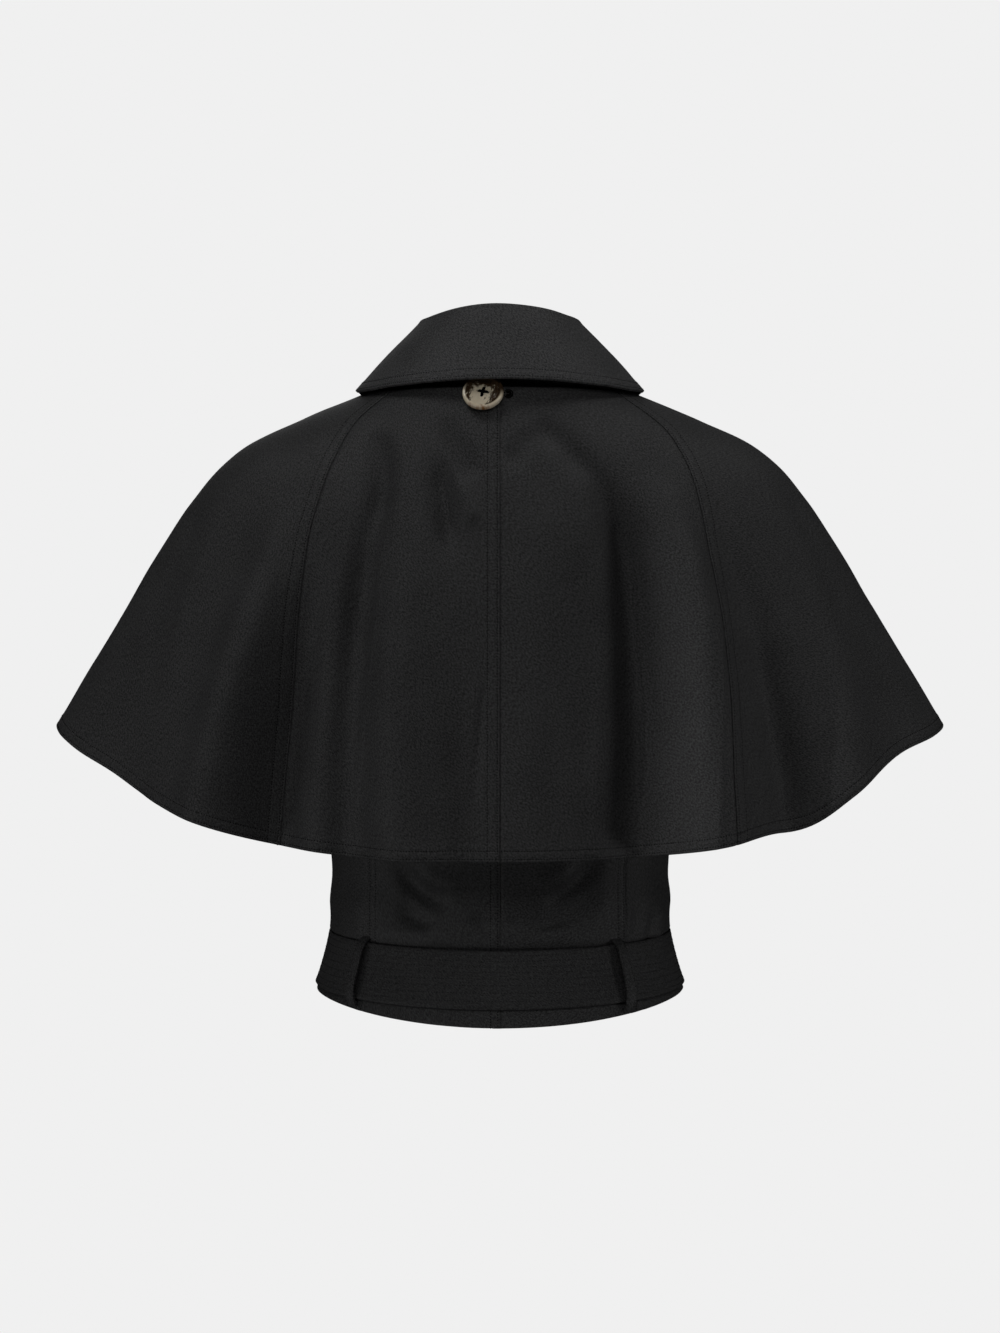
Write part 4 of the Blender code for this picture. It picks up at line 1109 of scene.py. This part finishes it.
def choose_faces(mesh, test):
    """In edit mode, select only the faces that pass a test."""
    bpy.ops.mesh.select_mode(type="FACE")
    bpy.ops.mesh.select_all(action="DESELECT")
    bpy.ops.object.mode_set(mode="OBJECT")
    for polygon in mesh.polygons:
        polygon.select = test(polygon)
    bpy.ops.object.mode_set(mode="EDIT")


def settle(name, size=(1.0, 1.0, 1.0)):
    """Name the shape that was just added, and apply its place and size."""
    shape = bpy.context.object
    shape.name = shape.data.name = name
    shape.scale = size
    bpy.ops.object.transform_apply(location=True, rotation=True, scale=True)
    return shape


def cut_out(shape, cutter):
    """Cut a shape out of another, and take the cutter away."""
    bpy.context.view_layer.objects.active = shape
    cut = shape.modifiers.new("cut", "BOOLEAN")
    cut.object, cut.solver = cutter, "EXACT"
    bpy.ops.object.modifier_apply(modifier=cut.name)
    bpy.data.objects.remove(cutter, do_unlink=True)


def turned_button(name, turn):
    """A button about the origin, its face up and its four thread holes turned."""
    bpy.ops.mesh.primitive_cylinder_add(vertices=64, radius=BUTTON_RADIUS, depth=BUTTON_HEIGHT,
                                        location=(0, 0, BUTTON_HEIGHT / 2))
    button = settle(name)
    bpy.ops.object.mode_set(mode="EDIT")
    choose_faces(button.data, lambda p: abs(p.normal.z) > FLAT_FACE)
    bpy.ops.mesh.bevel(offset=RIM_BEVEL, offset_type="OFFSET", segments=6, affect="EDGES")
    choose_faces(button.data, lambda p: p.normal.z > FLAT_FACE and p.area > TOP_AREA)
    for inset, sink in zip(RIM_INSETS, (0.0, FIRST_SINK, 1 - FIRST_SINK)):
        bpy.ops.mesh.inset(thickness=inset)
        bpy.ops.transform.translate(value=(0, 0, -BUTTON_DISH * sink))
    bpy.ops.object.mode_set(mode="OBJECT")
    for quarter in range(4):
        heading = turn + math.pi / 2 * quarter
        bpy.ops.mesh.primitive_cylinder_add(
            vertices=16, radius=HOLE_RADIUS, depth=BUTTON_HEIGHT * 3,
            location=(HOLE_OUT * math.cos(heading), HOLE_OUT * math.sin(heading), BUTTON_HEIGHT / 2))
        cut_out(button, settle("pin"))
    return button


print("a button is", BUTTON_RADIUS * 2000, "mm across, with holes of", HOLE_RADIUS * 2000, "mm")

# %% Place the buttons
CAPE_BUTTON_ACROSS, CAPE_BUTTON_SHARE = 0.0121, 0.0120
CAPE_BUTTON_TURN, BUTTON_LEAN, LEAN_LIFT = -0.14, math.radians(-9), 0.0012
FRONT_BUTTON_SHARES, FRONT_BUTTON_TURN = (0.09, 0.30, 0.51, 0.72), 0.9
SMOOTH_ANGLE = math.radians(35)


def seat_matrix(form, angle, share, lift):
    """A place on a form: Z outwards, Y up the form and X along it."""
    angle, share = np.asarray(angle, float), np.asarray(share, float)
    normal = Vector(outward(form, angle, share))
    up = Vector(form(angle, share - SHARE_STEP) - form(angle, share + SHARE_STEP))
    up = (up - normal * up.dot(normal)).normalized()
    turn = Matrix((up.cross(normal), up, normal)).transposed().to_4x4()
    return Matrix.Translation(Vector(form(angle, share)) + normal * lift) @ turn


def hard_piece(piece, place, finish, node):
    """Move a modelled piece to its place, and let it stand for its solid."""
    piece.data.transform(place)
    piece.data.materials.clear()
    piece.data.materials.append(finish)
    bpy.ops.object.select_all(action="DESELECT")
    piece.select_set(True)
    bpy.context.view_layer.objects.active = piece
    bpy.ops.object.shade_smooth_by_angle(angle=SMOOTH_ANGLE)
    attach(piece, "root")
    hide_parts(node)
    print(piece.name, len(piece.data.polygons), "faces")


nape_width = float(read_column(CAPE_SECTIONS, "half_width", CAPE_BUTTON_SHARE))
nape_angle = math.degrees(math.acos(CAPE_BUTTON_ACROSS / nape_width))
nape_seat = seat_matrix(smooth_cape_form, nape_angle, CAPE_BUTTON_SHARE, BUTTON_SEAT + LEAN_LIFT)
button_places = {"cape_button": (nape_seat @ Matrix.Rotation(BUTTON_LEAN, 4, "X"), CAPE_BUTTON_TURN)}
for number, share in enumerate(FRONT_BUTTON_SHARES, 1):
    seat = seat_matrix(body_form, CENTRE_FRONT, share, BUTTON_SEAT)
    button_places[f"front_button_{number}"] = (seat, FRONT_BUTTON_TURN * number)
for node, (place, turn) in button_places.items():
    button = turned_button(node + "_horn", turn)
    mesh, spin = button.data, Matrix.Rotation(-turn, 2)
    layer = mesh.uv_layers.get(BUTTON_MAP) or mesh.uv_layers.new(name=BUTTON_MAP)
    mesh.uv_layers.active = layer
    for corner in mesh.loops:
        layer.data[corner.index].uv = spin @ Vector(mesh.vertices[corner.vertex_index].co.xy) / BUTTON_RADIUS
    hard_piece(button, place, HORN, node)

# %% [markdown]
# ## Thread in the buttons, and the buttonholes
# Black thread crosses each button from hole to hole, and beside the button at the nape the end of
# its worked buttonhole shows, with its ring of close stitches. The strands are small tubes along an
# arch, and the buttonhole is made of the same stitch as the seams, turned to point outwards.

# %% Thread crosses
STRAND_SIDES, STRAND_RADIUS, STRAND_APART = 8, 0.00055, 0.00055
ARCH_RISE, ARCH_DROP, ARCH_FLAT = 0.0004, 0.0024, 0.80


def strand_points(path):
    """Rings of points along a path."""
    heading = unit(np.gradient(path, axis=0))
    aside = unit(np.cross(heading, np.tile((0.0, 0.0, 1.0), (len(path), 1)) + 1e-6))
    turn = np.linspace(0, math.tau, STRAND_SIDES, endpoint=False)
    rings = (aside[:, None] * np.cos(turn)[None, :, None]
             + np.cross(aside, heading)[:, None] * np.sin(turn)[None, :, None])
    return (path[:, None] + STRAND_RADIUS * rings).reshape(-1, 3)


def strand_faces(rings, offset):
    """Faces of a closed tube of rings."""
    index = offset + np.arange(rings * STRAND_SIDES).reshape(rings, STRAND_SIDES)
    after = np.roll(index, -1, axis=1)
    sides = np.stack([index[:-1], index[1:], after[1:], after[:-1]], axis=-1).reshape(-1, 4)
    return [*sides.tolist(), index[0].tolist(), index[-1, ::-1].tolist()]


cross_points, cross_faces = [], []
run = np.linspace(-1.0, 1.0, 15)
deck = BUTTON_HEIGHT - BUTTON_DISH + ARCH_RISE
for place, turn in button_places.values():
    matrix = np.array(place)
    for bar in range(2):
        along = turn + math.pi / 2 * bar
        arch = deck + ARCH_RISE * bar - ARCH_DROP * np.clip(np.abs(run) - ARCH_FLAT, 0, 1) / (1 - ARCH_FLAT)
        for beside in (-STRAND_APART, STRAND_APART):
            path = np.stack([HOLE_OUT * run * math.cos(along) - beside * math.sin(along),
                             HOLE_OUT * run * math.sin(along) + beside * math.cos(along), arch], axis=1)
            cross_faces += strand_faces(len(run), sum(len(p) for p in cross_points))
            cross_points.append(strand_points(path) @ matrix[:3, :3].T + matrix[:3, 3])
place_piece("button_thread", new_mesh("button_thread", np.concatenate(cross_points), cross_faces),
            THREAD_AND_HOLE_SHADE)
print("strands:", len(cross_points))

# %% Buttonholes
HOLE_REACH, HOLE_RISE, HOLE_LIFT = 0.0182, 0.0024, 0.0001
EYE_RINGS, EYE_TURN = ((0.0010, 7), (0.0019, 13), (0.0032, 19)), 130
SLIT_STITCHES, SLIT_START, SLIT_PITCH, SLIT_HALF = 18, 0.0030, 0.0007, 0.0011


def worked_hole(form, angle, share, rise=0.0):
    """Stitches round a keyhole that starts under a button and runs sideways, then round its eye."""
    spots, headings = [], []
    for radius, count in EYE_RINGS:
        for turn in np.radians(np.linspace(-EYE_TURN, EYE_TURN, count)):
            headings.append((math.cos(turn), math.sin(turn)))
            spots.append((HOLE_REACH + math.cos(turn) * radius, rise + math.sin(turn) * radius))
    for number in range(SLIT_STITCHES):
        run = HOLE_REACH - SLIT_START - SLIT_PITCH * number
        for side in (-1, 1):
            headings.append((0.0, side))
            spots.append((run, rise * run / HOLE_REACH + side * SLIT_HALF))
    seat = np.array(seat_matrix(form, angle, share, HOLE_LIFT))
    place, heading = (np.array(flat) @ seat[:3, :2].T for flat in (spots, headings))
    return lay_stitches(seat[:3, 3] + place, heading, np.tile(seat[:3, 2], (len(place), 1)))


hole_rows = [worked_hole(smooth_cape_form, nape_angle, CAPE_BUTTON_SHARE, HOLE_RISE)]
hole_rows += [worked_hole(body_form, CENTRE_FRONT, share) for share in FRONT_BUTTON_SHARES]
sew("buttonhole_stitches", hole_rows)

# %% [markdown]
# ## Slide buckle
# The buckle is a flat lacquered frame with a bar across its middle, which the belt's tail passes
# over. It is modelled as a plate: two windows are cut out of a flat block, one on each side of the
# bar, and the edges are rounded.

# %% Lacquer finish
BRUSH_SIZE, WORN_SPECKS = (60.0, 900.0, 900.0), (0.66, 0.74)


def lacquer_finish():
    """Black lacquer over metal, with faint brushing and worn specks."""
    finish, tree, shader = new_finish("buckle_lacquer")
    spot = add_node(tree, "TexCoord").outputs["Object"]
    brushed = add_node(tree, "Mapping", vector=spot, scale=BRUSH_SIZE).outputs[0]
    scuff = grain(tree, brushed, scale=1.0, detail=3.0)
    worn = step_up(tree, grain(tree, spot, scale=420.0, detail=2.0), WORN_SPECKS)
    feed(tree, shader, {
        "Base Color": mix_colours(tree, worn, (0.010, 0.010, 0.010), (0.045, 0.043, 0.040)),
        "Roughness": spread(tree, scuff, to_min=0.24, to_max=0.46),
        "Normal": bump(tree, scuff, strength=0.15, distance=0.0001),
        "Coat Weight": 0.35,
    })
    return finish


LACQUER = lacquer_finish()
print("lacquer made with", len(LACQUER.node_tree.nodes), "nodes")

# %% Model the buckle
BUCKLE_LENGTH, BUCKLE_HEIGHT = 0.062, 0.060
BUCKLE_SIDE, BUCKLE_RAIL, BUCKLE_BAR, BUCKLE_ROUNDING = 0.006, 0.005, 0.005, 0.0009
bpy.ops.mesh.primitive_cube_add(size=1.0, location=(0, 0, BUCKLE_THICKNESS / 2))
buckle = settle("belt_buckle_frame", (BUCKLE_LENGTH, BUCKLE_HEIGHT, BUCKLE_THICKNESS))
window = ((BUCKLE_LENGTH - BUCKLE_BAR) / 2 - BUCKLE_SIDE, BUCKLE_HEIGHT - 2 * BUCKLE_RAIL)
for way in (-1, 1):
    bpy.ops.mesh.primitive_cube_add(size=1.0, location=(way * (BUCKLE_BAR + window[0]) / 2, 0, 0))
    cut_out(buckle, settle("window", (*window, 4 * BUCKLE_THICKNESS)))
rounding = buckle.modifiers.new("rounding", "BEVEL")
rounding.width, rounding.segments, rounding.limit_method = BUCKLE_ROUNDING, 4, "ANGLE"
bpy.ops.object.modifier_apply(modifier=rounding.name)
buckle_seat = seat_matrix(body_form, CENTRE_FRONT, (BELT_TOP + BELT_FOOT) / 2, BUCKLE_LIFT)
hard_piece(buckle, buckle_seat, LACQUER, "belt_buckle")

# %% [markdown]
# ## Studio
# The coat hangs in the air as on a wearer, so the floor lies at a standing wearer's feet and runs up
# into a pale wall all round. The camera stands behind the coat, a little above its neck. Eight soft
# lights come from above, behind, below and in front, and four narrow ones draw the bright line down
# the fold at the right.

# %% Camera
CAMERA_PLACE, CAMERA_AIM = Vector((0.0, 3.0, 0.05)), Vector((0.0, 0.0, -0.2215))
CAMERA_LENS, CAMERA_SENSOR = 106.80, 36.0


def stand(name, data, place, aim):
    """Link a camera or a light at a place, turned towards its aim."""
    made = bpy.data.objects.new(name, data)
    made.location = place
    made.rotation_euler = (Vector(aim) - Vector(place)).to_track_quat("-Z", "Y").to_euler()
    bpy.context.scene.collection.objects.link(made)
    return made


lens = bpy.data.cameras.new("camera")
lens.lens = CAMERA_LENS
lens.sensor_width = lens.sensor_height = CAMERA_SENSOR
bpy.context.scene.camera = stand("camera", lens, CAMERA_PLACE, CAMERA_AIM)
looks_down = math.atan2(CAMERA_PLACE.z - CAMERA_AIM.z, CAMERA_PLACE.y)
print("camera looks down by", round(math.degrees(looks_down), 1), "degrees")

# %% Floor and wall
FLOOR_LEVEL, FLOOR_RADIUS, WALL_HEIGHT, FLOOR_BEND = -1.45, 7.0, 6.0, 2.0
FLOOR_TONE, FLAT_WAY = 0.871, 0.9
bpy.ops.mesh.primitive_cylinder_add(vertices=96, radius=FLOOR_RADIUS, depth=WALL_HEIGHT,
                                    location=(0, 0, FLOOR_LEVEL + WALL_HEIGHT / 2))
floor = settle("studio_floor")
bpy.ops.object.mode_set(mode="EDIT")
choose_faces(floor.data, lambda p: p.normal.z > FLAT_WAY)
bpy.ops.mesh.delete(type="FACE")
choose_faces(floor.data, lambda p: p.normal.z < -FLAT_WAY)
bpy.ops.mesh.bevel(offset=FLOOR_BEND, segments=12, affect="EDGES")
bpy.ops.mesh.select_all(action="SELECT")
bpy.ops.mesh.flip_normals()
bpy.ops.object.mode_set(mode="OBJECT")
floor.data.shade_smooth()
paper, tree, shader = new_finish("studio_paper")
feed(tree, shader, {"Base Color": (0.0, 0.0, 0.0, 1.0), "Specular IOR Level": 0.0, "Emission Strength": 1.0,
                    "Emission Color": (FLOOR_TONE, FLOOR_TONE, FLOOR_TONE, 1.0)})
floor.data.materials.append(paper)
floor.visible_diffuse = floor.visible_glossy = False
print("floor at", FLOOR_LEVEL, "m")

# %% Lights
Light = namedtuple("Light", "name place size power")
COAT_MIDDLE, FRONT_MIDDLE = (0.0, 0.0, -0.15), (0.0, 0.0, -0.2)
LIGHTS = [
    Light("high_left", (1.32, 0.48, 2.50), 1.0, 15.5),
    Light("high_right", (-1.40, -0.12, 2.50), 1.0, 12.0),
    Light("upper_right", (-1.67, 1.67, 1.70), 1.0, 3.0),
    Light("behind", (0.0, 2.65, 1.26), 0.8, 10.0),
    Light("low_left", (2.68, 0.98, -1.00), 0.6, 7.0),
    Light("low_behind", (1.83, 2.19, -1.08), 0.6, 5.0),
    Light("low_right", (-2.83, 0.76, -0.77), 0.6, 9.0),
    Light("front", (0.4, -3.2, 1.0), 1.6, 5.4),
]
FOLD_AIMS = ((-0.120, 0.17, -0.080), (-0.124, 0.17, -0.160), (-0.123, 0.17, -0.240), (-0.120, 0.17, -0.310))
FOLD_FROM, FOLD_POWER, FOLD_WIDTH, FOLD_LAMP = Vector((2.55, 1.48, 0.52)), 60.0, math.radians(2.2), 0.05
AIR_STRENGTH = 0.02
for light in LIGHTS:
    data = bpy.data.lights.new(light.name, "AREA")
    data.size, data.energy = light.size, light.power
    stand(light.name, data, light.place, FRONT_MIDDLE if light.name == "front" else COAT_MIDDLE)
for number, aim in enumerate(FOLD_AIMS, 1):
    data = bpy.data.lights.new(f"fold_{number}", "SPOT")
    data.energy, data.spot_size, data.spot_blend = FOLD_POWER, FOLD_WIDTH, 1.0
    data.shadow_soft_size = FOLD_LAMP
    stand(f"fold_{number}", data, Vector(aim) + FOLD_FROM, aim)
world = bpy.data.worlds.new("studio_air")
world.use_nodes = True
feed(world.node_tree, world.node_tree.nodes["Background"],
     {"Color": (1.0, 1.0, 1.0, 1.0), "Strength": AIR_STRENGTH})
bpy.context.scene.world = world
bpy.context.scene.view_settings.view_transform = "Standard"
print("lights:", [light.name for light in LIGHTS], "and", len(FOLD_AIMS), "on the fold")
